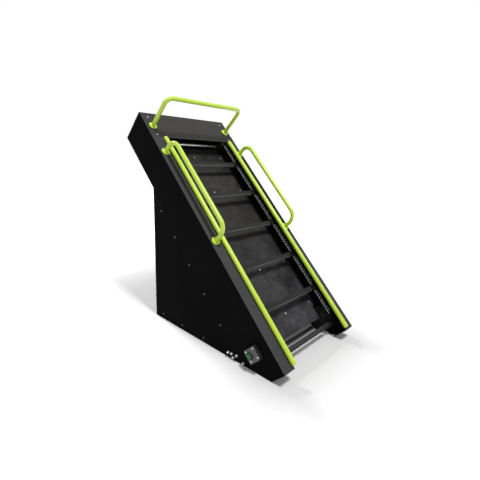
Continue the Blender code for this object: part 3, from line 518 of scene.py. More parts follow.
# The loop: where its runs and axles lie behind the front face, and how far up the ladder
FRONT_RUN = -0.045
RETURN_RUN = -0.2048
AXLE = -0.1249
LOWER_AXLE = 0.165
TOP_AXLE = 1.86397
PITCH_RADIUS = 0.079906
LAST_STRAIGHT = 0.213
LOWER_RUNG_TURN = (RUNG_PITCH - LAST_STRAIGHT) / PITCH_RADIUS

brushed, given, put = group(
    "drawn metal",
    [("Metal", "Color", (0.5, 0.5, 0.5, 1.0)), ("Stain", "Color", (0.1, 0.1, 0.1, 1.0)),
     ("Stain Amount", "Float", 0.3), ("Roughness Level", "Float", 0.35),
     ("Lines", "Vector", (4.0, 300.0, 300.0))],
    [("Base Color", "Color"), ("Roughness", "Float"), ("Normal", "Vector")])
spot = object_place(brushed)
stretched = wire(brushed, "VectorMath", {0: spot, 1: given["Lines"]}, operation="MULTIPLY")
lines = noise(brushed, stretched.outputs[0], 1.0, 3.0, 0.6)
stains = ramp(brushed, noise(brushed, spot, 16.0, 5.0, 0.65), 0.42, 0.72)
share = maths(brushed, "MULTIPLY", stains, given["Stain Amount"])
brushed.links.new(blend(brushed, share, given["Metal"], given["Stain"]), put["Base Color"])
rough = given["Roughness Level"]
for change in (ramp(brushed, lines, 0.3, 0.7, -0.06, 0.06),
               ramp(brushed, stains, 0.0, 1.0, 0.0, 0.12)):
    rough = maths(brushed, "ADD", rough, change)
brushed.links.new(rough, put["Roughness"])
line_bump = wire(brushed, "Bump", {"Strength": 0.12, "Distance": 0.0003, "Height": lines})
brushed.links.new(line_bump.outputs[0], put["Normal"])

rung_face_painted_lit = finish(
    "rung with painted lit face", brushed, Metal=grey(0.17, 0.02), Stain=grey(0.11), Stain_Amount=0.45,
    Roughness_Level=0.5, Specular_IOR_Level=0.2)
# A darker copy of the rung colour for the lower rung: painted shade, where it passes round under
# the deck
rung_painted_shade = finish(
    "rung in painted shade", brushed, Metal=grey(0.030), Stain=grey(0.05), Stain_Amount=0.5,
    Roughness_Level=0.5, Specular_IOR_Level=0.2)
tread_black = finish(
    "rung tread", brushed, Metal=grey(0.024), Stain=grey(0.040), Stain_Amount=0.5,
    Roughness_Level=0.6, Specular_IOR_Level=0.1)


def pull(bm, faces, step):
    """Extrude faces by a step, and give back the faces at the new end."""
    grown = bmesh.ops.extrude_face_region(bm, geom=faces)["geom"]
    verts = [item for item in grown if isinstance(item, bmesh.types.BMVert)]
    bmesh.ops.translate(bm, verts=verts, vec=step)
    return [item for item in grown if isinstance(item, bmesh.types.BMFace)]


def block(size, at=(0.0, 0.0, 0.0)):
    """A rectangular bar to be shaped further."""
    bm = bmesh.new()
    bmesh.ops.create_cube(bm, size=1.0,
                          matrix=Matrix.Translation(at) @ Matrix.Diagonal((*size, 1.0)))
    return bm


def slit(bm, point, normal):
    """Cut new edges through a mesh along a plane."""
    everything = list(bm.verts) + list(bm.edges) + list(bm.faces)
    bmesh.ops.bisect_plane(bm, geom=everything, plane_co=point, plane_no=normal)


def rung_pattern():
    """A rung about its middle: x along it, y up the ladder and its tread grooved on +z."""
    bm = block((RUNG_LONG, RUNG_TALL, RUNG_THICK))
    along = [edge for edge in bm.edges
             if abs(edge.verts[0].co.x - edge.verts[1].co.x) > RUNG_LONG / 2]
    made = bmesh.ops.bevel(bm, geom=along, offset=RUNG_CORNER, offset_type="OFFSET", segments=6,
                           profile=0.5, affect="EDGES", material=-1)
    for face in made["faces"]:
        face.smooth = True
    first = -(GROOVES - 1) / 2 * GROOVE_PITCH
    grooves = [first + i * GROOVE_PITCH for i in range(GROOVES)]
    for groove in grooves:
        for edge_of in (-0.5, 0.5):
            slit(bm, (0.0, groove + edge_of * GROOVE_WIDE, 0.0), (0.0, 1.0, 0.0))
    bm.normal_update()
    floors = [face for face in bm.faces if face.normal.z > 0.99
              and any(abs(face.calc_center_median().y - groove) < GROOVE_WIDE / 4
                      for groove in grooves)]
    pull(bm, floors, (0.0, 0.0, -GROOVE_DEEP))
    bm.normal_update()
    for face in bm.faces:
        # The face that looks down the incline takes the first material, painted pale as painted
        # light; the rest take the dark tread
        face.material_index = int(face.normal.y > -0.6)
    for way in (1.0, -1.0):
        end = [face for face in bm.faces if face.normal.x * way > 0.99]
        bmesh.ops.dissolve_faces(bm, faces=end)
    return pattern(bm)


def round_axle(axle_up, angle):
    """A place on the chain's half turn, by its angle from the front about an axle."""
    return (Matrix.Translation((0.0, axle_up, AXLE)) @ Matrix.Rotation(angle, 4, "X")
            @ Matrix.Translation((0.0, 0.0, PITCH_RADIUS)))


def on_run(ups, out, turn):
    """Places along a straight run, turned about x to face outwards from the loop."""
    return [Matrix.Translation((0.0, up, out)) @ Matrix.Rotation(turn, 4, "X") for up in ups]


rung_mesh = rung_pattern()
front_places = on_run([FIRST_FRONT_RUNG + RUNG_PITCH * i for i in range(RUNGS)], FRONT_RUN, 0.0)
return_places = on_run([FIRST_RETURN_RUNG - RUNG_PITCH * i for i in range(RUNGS)], RETURN_RUN,
                       math.pi)
for body, places, word in (("front_run", front_places, "rung"),
                           ("return_run", return_places, "return_rung")):
    for number, place in enumerate(places, start=1):
        piece(f"{word}_{number}_tube", stamped((rung_mesh, [place])), rung_face_painted_lit, ladder, body,
              [f"{word}_{number}"], second=tread_black)
# The lower rung takes the darker rung colour, painted shade
lower_place = round_axle(LOWER_AXLE, LOWER_RUNG_TURN)
bm = stamped((rung_mesh, [lower_place @ Matrix.Rotation(math.pi, 4, "Z")]))
piece("lower_rung_tube", bm, rung_painted_shade, ladder, "lower_sprockets", ["lower_rung"],
      second=tread_black)

# Chains. Roller chain of 25 mm pitch runs round the housing inside each rail: links by turns
# outside and inside, pins, rollers, and pressed steel carriers that bolt to the rung ends.
PITCH = 0.025
CHAIN_X = 0.322
FRONT_LINKS = 69
RETURN_LINKS = 68
RUN_PINS = 69
INNER_AT = 0.0085
OUTER_AT = 0.0118
LINK_THICK = 0.003
LINK_RADIUS = 0.009
LINK_WAIST = 0.8
WORN_EDGE = -0.0045
ROLLER_RADIUS = 0.0063
ROLLER_HALF = INNER_AT - 2e-4
PIN_RADIUS = 0.0036
HERE = Matrix.Identity(4)
ACROSS = Matrix.Rotation(math.pi / 2, 4, "Y")
chain_dark = finish(
    "oiled chain", brushed, Metal=grey(0.010), Stain=grey(0.02), Stain_Amount=0.6,
    Roughness_Level=0.5, Lines=(250.0, 250.0, 250.0), Specular_IOR_Level=0.1)
chain_bright = finish(
    "worn chain", brushed, Metal=grey(0.62), Stain=grey(0.3), Stain_Amount=0.2,
    Roughness_Level=0.5, Lines=(250.0, 250.0, 250.0), Metallic=0.6)
carrier_black = finish(
    "carrier coat", powder_coat, Coat=grey(0.005), Bloom=grey(0.012), Bloom_Amount=0.3,
    Bloom_Scale=30.0, Sheen_Level=0.5, Peel=0.2, Dust_Amount=0.02, Specular_IOR_Level=0.08)
black_bolt = finish(
    "black bolts", brushed, Metal=grey(0.012), Stain=grey(0.03), Stain_Amount=0.4,
    Roughness_Level=0.5, Lines=(500.0, 500.0, 500.0), Specular_IOR_Level=0.2)


def link_pair(at):
    """Two link plates of one pitch, `at` from the chain's middle, rubbed along the outer edge."""
    bm = bmesh.new()
    for start in (-at - LINK_THICK, at):
        plate = bmesh.new()
        bmesh.ops.create_circle(plate, cap_ends=True, radius=LINK_RADIUS, segments=12,
                                matrix=Matrix.Rotation(math.radians(15), 4, "Z"))
        for vert in plate.verts:
            vert.co.y += PITCH / 2 if vert.co.y > 0.0 else -PITCH / 2
        longest = [edge for edge in plate.edges
                   if abs(edge.verts[0].co.y - edge.verts[1].co.y) > PITCH / 2]
        waist = bmesh.ops.subdivide_edges(plate, edges=longest, cuts=1)["geom_inner"]
        for item in waist:
            if isinstance(item, bmesh.types.BMVert):
                item.co.x *= LINK_WAIST
        pull(plate, plate.faces[:], (0.0, 0.0, LINK_THICK))
        slit(plate, (WORN_EDGE, 0.0, 0.0), (1.0, 0.0, 0.0))
        plate.normal_update()
        for face in plate.faces:
            if face.calc_center_median().x < WORN_EDGE or abs(face.normal.z) < 0.5:
                face.material_index = 1
        turn = Matrix(((0, 0, 1, start), (0, 1, 0, 0), (-1, 0, 0, 0), (0, 0, 0, 1)))
        stamp(bm, pattern(plate), [turn])
    return pattern(bm)


def both_ends(half):
    """A lathe profile alike at both ends, from its half past the middle."""
    return [(radius, -along) for radius, along in reversed(half)] + half


def smooth_sided(profile, steps):
    """A turned shape kept as a pattern, with smooth sides and flat ends."""
    bm = turned(profile, steps)
    for face in bm.faces:
        face.smooth = abs(face.normal.z) < 0.5
    return pattern(bm)


def pin_and_roller():
    """A roller on its pin; x is the pin axis."""
    head = OUTER_AT + LINK_THICK
    roller = both_ends([(ROLLER_RADIUS, ROLLER_HALF), (0.0, ROLLER_HALF)])
    pin = both_ends([(PIN_RADIUS, head + 0.0003), (0.0028, head + 0.0010), (0.0, head + 0.0010)])
    return pattern(stamped((smooth_sided(roller, 12), [ACROSS]), (smooth_sided(pin, 8), [ACROSS])))


def hexagon_head(across, tall):
    """A hexagon bolt head on a washer, standing on z = 0."""
    washer = [(0.0, 0.0), (across * 0.95, 0.0), (across * 0.95, 0.0012), (0.0, 0.0012)]
    head = bmesh.new()
    bmesh.ops.create_circle(head, cap_ends=True, radius=across / 2 / math.cos(math.pi / 6),
                            segments=6, matrix=Matrix.Translation((0.0, 0.0, 0.0011)))
    pull(head, head.faces[:], (0.0, 0.0, tall))
    round_edges(head, across * 0.06, 1, lambda edge: all(vert.co.z > tall for vert in edge.verts))
    return pattern(stamped((pattern(turned(washer, 16)), [HERE]), (pattern(head), [HERE])))


CARRIER_FROM = 0.2803
CARRIER_TO = 0.341
CARRIER_HALF_HIGH = 0.023
CARRIER_TOP = RUNG_THICK / 2
WEB = 0.0050
FLANGE_THICK = 0.006
LIP_THICK = 0.0037
LIP_DEEP = 0.019


def carrier():
    """A rung carrier in the chain's own frame: folded over the chain, its inner end a flange."""
    section = [(CARRIER_FROM, CARRIER_TOP), (CARRIER_TO, CARRIER_TOP),
               (CARRIER_TO, CARRIER_TOP - LIP_DEEP),
               (CARRIER_TO - LIP_THICK, CARRIER_TOP - LIP_DEEP),
               (CARRIER_TO - LIP_THICK, CARRIER_TOP - WEB),
               (CARRIER_FROM + FLANGE_THICK, CARRIER_TOP - WEB),
               (CARRIER_FROM + FLANGE_THICK, -CARRIER_TOP), (CARRIER_FROM, -CARRIER_TOP)]
    bm = bmesh.new()
    bm.faces.new([bm.verts.new((x, -CARRIER_HALF_HIGH, z)) for x, z in section])
    pull(bm, bm.faces[:], (0.0, 2 * CARRIER_HALF_HIGH, 0.0))
    bmesh.ops.recalc_face_normals(bm, faces=bm.faces)
    bm.normal_update()
    corners = []  # the edges at the flange's ends and foot
    for edge in bm.edges:
        a, b = (vert.co for vert in edge.verts)
        if (edge.calc_length() < 0.03 and min(abs(a.z), abs(b.z)) > 0.013 and a.z < 0.0
                and abs(a.y - b.y) < 1e-5):
            corners.append(edge)
    bmesh.ops.bevel(bm, geom=corners, offset=0.006, offset_type="OFFSET", segments=4, profile=0.5,
                    affect="EDGES", material=-1)
    bm.normal_update()
    round_edges(bm, 0.0009)
    return pattern(bm)


outer_link, inner_link, chain_pin = link_pair(OUTER_AT), link_pair(INNER_AT), pin_and_roller()
carrier_mesh = carrier()
carrier_bolt = hexagon_head(0.010, 0.0045)
bolt_places = [Matrix.Translation((x, up, CARRIER_TOP))
               for x in (0.304, 0.326) for up in (-0.012, 0.012)]


def chain_pieces(word, side, sign, body, links, pins, carriers, nodes):
    """One length of chain and the carriers on it, as two pieces and their bolts."""
    shift = Matrix.Translation((sign * CHAIN_X, 0.0, 0.0))
    bm = bmesh.new()
    for number, place in links:
        stamp(bm, inner_link if number % 2 else outer_link, [shift @ place])
    stamp(bm, chain_pin, [shift @ place for place in pins])
    # The worn bright rims are painted dark on the lower half turns: painted shade, where that part
    # of the chain lies in shadow
    rubbed = chain_dark if word == "lower_turn" else chain_bright
    piece(f"{side}_{word}_chain_links", bm, chain_dark, ladder, body, nodes,
          second=rubbed)
    if not carriers:
        return
    carriers = [place @ Matrix.Diagonal((sign, 1.0, 1.0, 1.0)) for place in carriers]
    bolts = [place @ bolt for place in carriers for bolt in bolt_places]
    for name, mesh, places, material in (("carriers", carrier_mesh, carriers, carrier_black),
                                         ("carrier_bolts", carrier_bolt, bolts, black_bolt)):
        piece(f"{side}_{word}_{name}", stamped((mesh, places)), material, ladder, body)


for side, sign in SIDES:
    for word, start, step, out, count, carriers in (
            ("front", LOWER_AXLE, PITCH, FRONT_RUN, FRONT_LINKS, front_places),
            ("return", TOP_AXLE, -PITCH, RETURN_RUN, RETURN_LINKS, return_places)):
        links = on_run([start + (k + 0.5) * step for k in range(count)], out, 0.0)
        pins = on_run([start + k * step for k in range(RUN_PINS)], out, 0.0)
        chain_pieces(word, side, sign, word + "_run", enumerate(links), pins, carriers,
                     [f"{side}_{word}_chain"])

# Sprockets. Twenty teeth flame cut in 16 mm steel plate, oiled dark, on hubs with four bolts. Each
# holds its half turn of chain; the lower pair carries the rung that is passing round.
TEETH = 20
TEETH_WIDE = 0.0158
TOOTH_STEPS = 8
TOOTH_ROOT = PITCH_RADIUS - 0.0062
TOOTH_TIP = PITCH_RADIUS + 0.0055
RECESS_RADIUS = 0.064
RECESS_DEEP = 0.003
HUB_RADIUS = 0.032
HUB_HALF = 0.0125
sprocket_steel = finish(
    "oiled steel", brushed, Metal=grey(0.014), Stain=(0.03, 0.027, 0.024, 1.0), Stain_Amount=0.5,
    Roughness_Level=0.45, Lines=(60.0, 60.0, 60.0), Specular_IOR_Level=0.2)
small_bolt = hexagon_head(0.008, 0.004)


def four_round(axis, radius, out):
    """Four bolt places round an axis, `out` along it."""
    return [axis @ Matrix.Rotation(math.radians(45 + 90 * k), 4, "Z")
            @ Matrix.Translation((radius, 0.0, out)) for k in range(4)]


def sprocket_pattern():
    """A toothed disc with a turned recess on each face and a bolted hub, about x."""
    bm = bmesh.new()
    bmesh.ops.create_circle(bm, cap_ends=True, radius=1.0, segments=TEETH * TOOTH_STEPS)
    for vert in bm.verts:
        angle = math.atan2(vert.co.y, vert.co.x)
        swing = 0.5 - 0.5 * math.cos(angle * TEETH)
        share = min(1.0, max(0.0, swing * 1.25 - 0.12))
        vert.co = vert.co.normalized() * (TOOTH_ROOT + (TOOTH_TIP - TOOTH_ROOT) * share)
    pull(bm, bm.faces[:], (0.0, 0.0, TEETH_WIDE))
    bmesh.ops.recalc_face_normals(bm, faces=bm.faces)
    for flat in [face for face in bm.faces if abs(face.normal.z) > 0.9]:
        up = flat.normal.z
        bmesh.ops.inset_region(bm, faces=[flat], thickness=0.0075, use_even_offset=False)
        for vert in flat.verts:
            vert.co.xy = vert.co.to_2d().normalized() * RECESS_RADIUS
        bmesh.ops.inset_region(bm, faces=[flat], thickness=0.002)
        bmesh.ops.translate(bm, verts=flat.verts, vec=(0.0, 0.0, -RECESS_DEEP * up))
    bmesh.ops.translate(bm, verts=bm.verts, vec=(0.0, 0.0, -TEETH_WIDE / 2))
    hub = both_ends([(HUB_RADIUS, 0.0105), (0.030, HUB_HALF), (0.0, HUB_HALF)])
    whole = stamped((pattern(bm), [HERE]), (smooth_sided(hub, 40), [HERE]))
    for bolt in four_round(HERE, 0.024, HUB_HALF):
        stamp(whole, small_bolt, [bolt, Matrix.Rotation(math.pi, 4, "X") @ bolt])
    bmesh.ops.transform(whole, matrix=ACROSS, verts=whole.verts)
    return pattern(whole)


sprocket_mesh = sprocket_pattern()
for side, sign in SIDES:
    for end, axle_up, body, facing in (("top", TOP_AXLE, "top_shaft", -1.0),
                                       ("lower", LOWER_AXLE, "lower_sprockets", 1.0)):
        disc = stamped((sprocket_mesh, [Matrix.Translation((sign * CHAIN_X, axle_up, AXLE))]))
        piece(f"{side}_{end}_sprocket_disc", disc, sprocket_steel, ladder, body,
              [f"{side}_{end}_sprocket"])
        step = facing * 2 * math.pi / TEETH
        lower = end == "lower"
        links = [(i + lower, round_axle(axle_up, (i + 0.5) * step))
                 for i in range(0 if lower else 1, TEETH // 2)]
        pins = [round_axle(axle_up, i * step) for i in range(1, TEETH // 2)]
        chain_pieces(end + "_turn", side, sign, body, links, pins,
                     [lower_place] if lower else [], [])

# Shafts. The polished top shaft turns in flange bearings and is driven; each lower sprocket turns
# on a stub axle that is bolted through the side frame.
SHAFT_RADIUS = 0.015
CHAMFER = 0.0015
polished = finish(
    "polished shaft", brushed, Metal=grey(0.80), Stain=grey(0.6), Stain_Amount=0.15,
    Roughness_Level=0.34, Lines=(900.0, 40.0, 40.0), Metallic=1.0)
top_axis = Matrix.Translation((0.0, TOP_AXLE, AXLE)) @ ACROSS
lower_axis = Matrix.Translation((0.0, LOWER_AXLE, AXLE)) @ ACROSS
low, high = (to_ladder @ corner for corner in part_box("top_shaft"))
bar = [(0.0, low.x), (SHAFT_RADIUS - CHAMFER, low.x), (SHAFT_RADIUS, low.x + CHAMFER),
       (SHAFT_RADIUS, high.x - CHAMFER), (SHAFT_RADIUS - CHAMFER, high.x), (0.0, high.x)]
piece("top_shaft_bar", turned(bar, 48), polished, ladder @ top_axis, "top_shaft",
      ["top_shaft"], 40)
flange_ring = [(0.0156, 0.3493), (0.040, 0.3493), (0.042, 0.3503), (0.042, 0.3573),
               (0.0405, 0.3588), (0.030, 0.3590), (0.028, 0.3600), (0.0265, 0.3690),
               (0.0255, 0.3703), (0.0156, 0.3703), (0.0156, 0.3493)]
stub = [(0.0, 0.308), (0.0125, 0.308), (0.014, 0.3095), (0.014, 0.3493), (0.041, 0.3493),
        (0.042, 0.3503), (0.042, 0.3563), (0.041, 0.3573), (0.0, 0.3573)]
for side, sign in SIDES:
    for node, shape, slot, material, axis, profile, bolts in (
            ("_shaft_bearing", "_flange", "frame_steel", frame_black, top_axis, flange_ring,
             (0.0345, 0.3589)),
            ("_stub_axle", "_turned", "shaft_steel", sprocket_steel, lower_axis, stub,
             (0.030, 0.3572))):
        bm = stamped((pattern(turned(profile, 48)), [axis]),
                     (small_bolt, four_round(axis, *bolts)))
        piece(side + node + shape, bm, material, ladder @ Matrix.Diagonal((sign, 1.0, 1.0, 1.0)),
              "housing", [side + node], 40)

# Green tubes. A 32 mm steel tube lies along each rail's inner edge, a bent handle bridges the top
# cover and a grab handle stands on each rail. Lime powder coat; flanges welded on, three screws.
GREEN_RADIUS = 0.016
HANDLE_RADIUS = GREEN_RADIUS - 0.0005
EDGE_TUBE_X = 0.323
EDGE_TUBE_OUT = 0.0163
FLANGE = 0.006
TOP_HANDLE_HALF = 0.362
TOP_HANDLE_UP = 1.905
TOP_HANDLE_STAND = 0.257
TOP_HANDLE_BEND = 0.050
GRAB_X = 0.376
GRAB_FROM = 0.897
GRAB_TO = 1.655
GRAB_STAND = 0.130
GRAB_BEND = 0.075
HEAD_RADIUS = 0.0068
HEAD_TALL = 0.0016
HEAD_SIDES = 12
SOCKET = 0.0034
lime = finish(
    "lime powder coat", powder_coat, Coat=(0.56, 0.79, 0.032, 1.0), Bloom=(0.61, 0.83, 0.06, 1.0),
    Bloom_Amount=0.5, Bloom_Scale=8.0, Sheen_Level=0.38, Peel=0.18, Dust_Amount=0.01,
    Specular_IOR_Level=0.7, Coat_Weight=0.3, Coat_Roughness=0.3)
flange_disc = pattern(turned(
    [(0.0, 0.0003), (0.0292, 0.0003), (0.030, 0.0011), (0.030, 0.0050), (0.0290, 0.0063),
     (0.0186, 0.0063), (0.0172, 0.0070), (0.0163, 0.0082), (0.0160, 0.0098), (0.0, 0.0098)], 40))


def screw_head():
    """A button head with a hexagon socket, standing on z = 0."""
    r, tall = HEAD_RADIUS, HEAD_TALL
    bm = turned([(0.0, -0.0005), (r, -0.0005), (r, tall * 0.35), (r * 0.82, tall * 0.8),
                 (r * 0.6, tall), (SOCKET, tall), (SOCKET, tall * 0.25), (0.0, tall * 0.25)],
                HEAD_SIDES)
    for vert in bm.verts:
        step = round(math.atan2(vert.co.y, vert.co.x) / (2 * math.pi / HEAD_SIDES))
        if abs(vert.co.to_2d().length - SOCKET) < TOUCHING and step % 2:
            vert.co.x *= math.cos(math.pi / 6)
            vert.co.y *= math.cos(math.pi / 6)
        for face in vert.link_faces:
            reach = face.calc_center_median().to_2d().length
            face.smooth = abs(face.normal.z) < 0.95 and reach > SOCKET
    return pattern(bm)


def bent_tube(corners, bend):
    """A tube on two flanges: drawn out along its straights and spun through its bends."""
    corners = [Vector(corner) for corner in corners]
    bm = bmesh.new()
    foot = Matrix.Translation(corners[0] + Vector((0.0, 0.0, FLANGE)))
    bmesh.ops.create_circle(bm, cap_ends=True, radius=HANDLE_RADIUS, segments=28, matrix=foot)
    end = bm.faces[:]
    reached = foot.translation
    for before, corner, after in zip(corners, corners[1:], corners[2:]):
        into, out = (corner - before).normalized(), (after - corner).normalized()
        end = pull(bm, end, corner - into * bend - reached)
        spun = bmesh.ops.spin(bm, geom=end, cent=corner - into * bend + out * bend,
                              axis=into.cross(out), angle=math.pi / 2, steps=10)
        bmesh.ops.delete(bm, geom=end, context="FACES_ONLY")
        end = [item for item in spun["geom_last"] if isinstance(item, bmesh.types.BMFace)]
        reached = corner + out * bend
    pull(bm, end, corners[-1] + Vector((0.0, 0.0, FLANGE)) - reached)
    bmesh.ops.recalc_face_normals(bm, faces=bm.faces)
    stamp(bm, flange_disc, [Matrix.Translation(corner) for corner in (corners[0], corners[-1])])
    return bm


def loop_corners(start, end, stand):
    """The corners of a handle that stands out from one flange, runs along and comes back."""
    return [(*start, 0.0), (*start, stand), (*end, stand), (*end, 0.0)]


button_screw = screw_head()
flange_screw = Matrix.Translation((0.0238, 0.0, 0.0060))
SMALLER = Matrix.Diagonal((0.5, 0.5, 0.7, 1.0))
edge_bar = [(0.0, 0.020), (0.0095, 0.020), (0.0125, 0.0216), (0.0145, 0.0236), (0.0157, 0.0250),
            (GREEN_RADIUS, 0.0268), (GREEN_RADIUS, 1.774), (0.0155, 1.777), (0.0140, 1.7788),
            (0.010, 1.780), (0.0, 1.780)]
across = loop_corners((-TOP_HANDLE_HALF, TOP_HANDLE_UP), (TOP_HANDLE_HALF, TOP_HANDLE_UP),
                      TOP_HANDLE_STAND)
handles = {"top_handle": (across, TOP_HANDLE_BEND)}
for side, sign in SIDES:
    x = sign * GRAB_X
    upright = loop_corners((x, GRAB_FROM), (x, GRAB_TO), GRAB_STAND)
    handles[side + "_grab_handle"] = (upright, GRAB_BEND)
    along = Matrix.Translation((sign * EDGE_TUBE_X, 0.0, EDGE_TUBE_OUT))
    along = along @ Matrix.Rotation(-math.pi / 2, 4, "X")
    piece(side + "_edge_tube_bar", turned(edge_bar, 32), lime, ladder @ along, "housing",
          [side + "_edge_tube"], 50)
for name, (corners, bend) in handles.items():
    piece(name + "_tube", bent_tube(corners, bend), lime, ladder, "housing", [name],
          50)
    places = [Matrix.Translation(corner) @ Matrix.Rotation(math.radians(90 + 120 * k), 4, "Z")
              @ flange_screw @ SMALLER for corner in (corners[0], corners[-1]) for k in range(3)]
    piece(name + "_screws", stamped((button_screw, places)), lime, ladder, "housing")

# Screws of the housing. Button heads hold the panels and covers, dulled on the black sides and
# zinc bright on the top cover and the deck.
dull_zinc = finish(
    "dulled zinc", brushed, Metal=grey(0.13), Stain=grey(0.06), Stain_Amount=0.4,
    Roughness_Level=0.5, Lines=(500.0, 500.0, 500.0), Specular_IOR_Level=0.4)
bolt_zinc = finish(
    "zinc plate", brushed, Metal=grey(0.55, 0.02), Stain=(0.30, 0.28, 0.24, 1.0), Stain_Amount=0.4,
    Roughness_Level=0.32, Lines=(500.0, 500.0, 500.0), Metallic=1.0)


def row(start, end, count):
    """Evenly spaced (out, up) points from one to another."""
    return [tuple(Vector(start).lerp(Vector(end), k / (count - 1))) for k in range(count)]


def screws(name, material, spots, turn, place=ladder):
    """Button heads at spots on the ladder or the ground frame, turned alike, as one piece."""
    bm = stamped((button_screw, [Matrix.Translation(spot) @ turn for spot in spots]))
    piece(name, bm, material, place)


SEAM = [(-0.300, 0.442 + 0.230 * k) for k in range(5)]
REAR_EDGE = row((-0.335, 1.450), (-0.845, 0.940), 4)
FLOOR_EDGE = row((-0.865, 0.780), (-0.365, 0.270), 4)
COVER_ROWS = (-0.385, 0.0, 0.385)
rear_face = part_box("rear_cover")[1].y - ground.translation.y
for side, sign in SIDES:
    screws(side + "_side_screws", dull_zinc,
           [(sign * HALF, up, out) for out, up in SEAM + REAR_EDGE + FLOOR_EDGE],
           Matrix.Rotation(sign * math.pi / 2, 4, "Y"))
screws("top_cover_screws", bolt_zinc,
       [(x, up, 0.0) for x in (-0.362, 0.362) for up in (1.824, 1.997)],
       HERE)
screws("deck_screws", bolt_zinc,
       [(x, 0.305 + 0.356 * k, -0.128) for x in (-0.293, 0.0, 0.293) for k in range(5)],
       HERE)
screws("back_cover_screws", dull_zinc,
       [(x, up, -0.257) for x in COVER_ROWS for up in (1.600, 1.800, 2.000)],
       Matrix.Rotation(math.pi, 4, "X"))
screws("rear_cover_screws", dull_zinc,
       [(x, rear_face, up) for x in COVER_ROWS for up in (0.080, 0.330, 0.580)],
       Matrix.Rotation(-math.pi / 2, 4, "X"), ground)

# Drive. A gear motor on a folded mount turns the top shaft through a toothed belt inside the right
# rail. It paces the rungs and holds them still; the controller box stands beside it.
MOTOR = (0.700, 0.350)
FINS = 12
FIN_PITCH = 0.011
GEARBOX = (0.090, 0.125, 0.125)
GEARBOX_X = 0.285
MOTOR_END = 0.2405
CORNER_BOLT = 0.050
DRIVE_WHEEL = 0.055
DRIVE_BORE = 0.0156
MOTOR_WHEEL = 0.0275
TO_LEFT = Matrix.Rotation(-math.pi / 2, 4, "Y")
motor_grey = finish(
    "motor paint", powder_coat, Coat=grey(0.05), Bloom=grey(0.09), Bloom_Amount=0.5,
    Bloom_Scale=12.0, Sheen_Level=0.4, Peel=0.3, Dust_Amount=0.3)
belt_black = finish(
    "belt rubber", moulded, Colour=grey(0.015), Scuff=grey(0.04), Scuff_Amount=0.4,
    Grain_Scale=900.0, Roughness_Level=0.65)
motor_axis = Matrix.Translation((0.0, *MOTOR)) @ ACROSS
barrel = [(0.0, 0.060), (0.040, 0.060), (0.056, 0.062), (0.064, 0.068), (0.064, 0.084),
          (0.058, 0.086)]
for k in range(FINS):
    at = 0.092 + k * FIN_PITCH
    barrel += [(0.058, at), (0.065, at), (0.065, at + 0.0035), (0.058, at + 0.0035)]
barrel += [(0.058, 0.226), (0.0645, 0.228), (0.0645, MOTOR_END), (0.0, MOTOR_END)]
gearbox = block(GEARBOX, (GEARBOX_X, *MOTOR))
round_edges(gearbox, 0.010, 4)
corner_bolts = [Matrix.Translation((MOTOR_END, MOTOR[0] + a, MOTOR[1] + b)) @ TO_LEFT
                for a in (-CORNER_BOLT, CORNER_BOLT) for b in (-CORNER_BOLT, CORNER_BOLT)]
bm = stamped((pattern(turned(barrel, 48)), [motor_axis]), (pattern(gearbox), [HERE]),
             (hexagon_head(0.010, 0.005), corner_bolts))
piece("gear_motor_body", bm, motor_grey, ground, "housing", ["gear_motor"])
sheet_piece("motor_mount", frame_black, edge=0.0012)
bm = solid_of("controller_box")
round_edges(bm, 0.006, 4)
piece("controller_box_case", bm, motor_grey, None, "housing", ["controller_box"])
piece("drive_belt_loop", solid_of("drive_belt"), belt_black, None, "housing",
      ["drive_belt"], 40)


def wheel(radius, bore):
    """A belt pulley's profile, with a rim at each edge of the belt."""
    belt = radius - 0.0012
    return [(bore, 0.384), (radius, 0.384), (radius, 0.3848), (belt, 0.3852), (belt, 0.4008),
            (radius, 0.4012), (radius, 0.402), (bore, 0.402)]


ring = wheel(DRIVE_WHEEL, DRIVE_BORE)
bm = stamped((pattern(turned(ring + ring[:1], 48)), [top_axis]))
piece("drive_pulley_wheel", bm, sprocket_steel, ladder, "top_shaft",
      ["drive_pulley"], 40)
shaft_end = [(0.0, 0.3303), (0.010, 0.3303), (0.010, 0.3845), (0.0, 0.3845)]
bm = stamped((pattern(turned(wheel(MOTOR_WHEEL, 0.0), 48)), [motor_axis]),
             (pattern(turned(shaft_end, 24)), [motor_axis]))
piece("motor_pulley_wheel", bm, sprocket_steel, ground, "motor_pulley",
      ["motor_pulley"], 40)

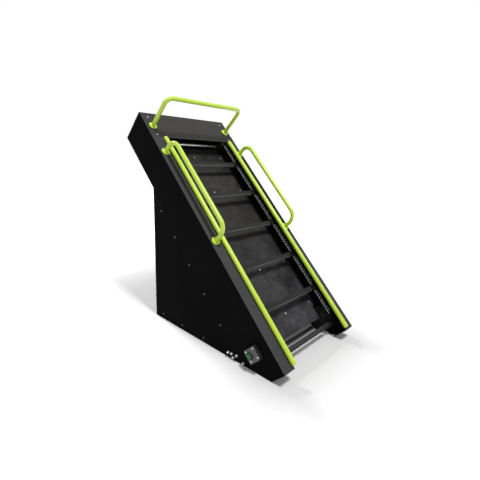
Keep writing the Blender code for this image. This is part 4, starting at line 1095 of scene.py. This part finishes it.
# Controls. A moulded box with a grey plate, four screws and the green start button, low on the
# left side, and the bright cable glands that enter the housing beside it.
BUTTON_OUT = -0.154
BUTTON_UP = 0.184
RING_FROM = 0.0172
RING_DEEP = 0.003
case_black = finish(
    "control case", moulded, Colour=grey(0.010), Scuff=grey(0.03), Scuff_Amount=0.3,
    Grain_Scale=1100.0, Roughness_Level=0.45)
plate_grey = finish(
    "control plate", brushed, Metal=(0.14, 0.13, 0.12, 1.0), Stain=grey(0.07), Stain_Amount=0.5,
    Roughness_Level=0.45, Lines=(300.0, 6.0, 300.0), Specular_IOR_Level=0.25)
button_green = finish(
    "button green", moulded, Colour=(0.030, 0.15, 0.050, 1.0), Scuff=(0.07, 0.24, 0.09, 1.0),
    Scuff_Amount=0.4, Grain_Scale=1500.0, Roughness_Level=0.4, Specular_IOR_Level=0.3)
ring_green = finish(
    "button ring", moulded, Colour=(0.003, 0.030, 0.006, 1.0), Scuff=(0.01, 0.05, 0.015, 1.0),
    Scuff_Amount=0.4, Grain_Scale=1500.0, Roughness_Level=0.4, Specular_IOR_Level=0.2)
sheet_piece("switch_box", case_black, edge=0.0012)
sheet_piece("switch_plate", plate_grey, edge=0.0005)
press = Matrix.Translation((0.0, BUTTON_UP, BUTTON_OUT)) @ TO_LEFT
low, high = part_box("start_button")
front = -(low.x - ground.translation.x)
back = -(high.x - ground.translation.x)
bm = turned([(0.0, back), (0.0220, back), (0.0225, back + 0.0008), (0.0225, front - 0.0044),
             (0.0214, front - 0.0030), (0.0196, front - 0.0026), (0.0186, front - 0.0032),
             (0.0180, front - 0.0034), (0.0172, front - 0.0012), (0.0152, front - 0.0002),
             (0.0110, front), (0.0, front - 0.0003)], 40)
for face in bm.faces:
    middle = face.calc_center_median()
    if middle.to_2d().length > RING_FROM or middle.z < front - RING_DEEP:
        face.material_index = 1
piece("start_button_cap", bm, button_green, ladder @ press, "start_button",
      ["start_button"], 40, second=ring_green)
plate_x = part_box("switch_plate")[0].x - ground.translation.x
screws("switch_plate_screws", bolt_zinc,
       [(plate_x, up, out) for out, up in ((-0.1725, 0.215), (-0.1013, 0.2133),
                                           (-0.1008, 0.1549), (-0.1694, 0.154))],
       TO_LEFT)
gland = pattern(turned(
    [(0.0, -0.0005), (0.0095, -0.0005), (0.0095, 0.004), (0.0080, 0.0048), (0.0080, 0.011),
     (0.0068, 0.013), (0.0045, 0.0138), (0.0040, 0.0110), (0.0, 0.0110)], 20))
places = [Matrix.Translation((-HALF, up, out)) @ TO_LEFT
          for out, up in ((-0.354, 0.271), (-0.328, 0.252), (-0.293, 0.225), (-0.335, 0.226),
                          (-0.272, 0.165))]
piece("cable_glands", stamped((gland, places)), bolt_zinc, ladder, smooth=40)
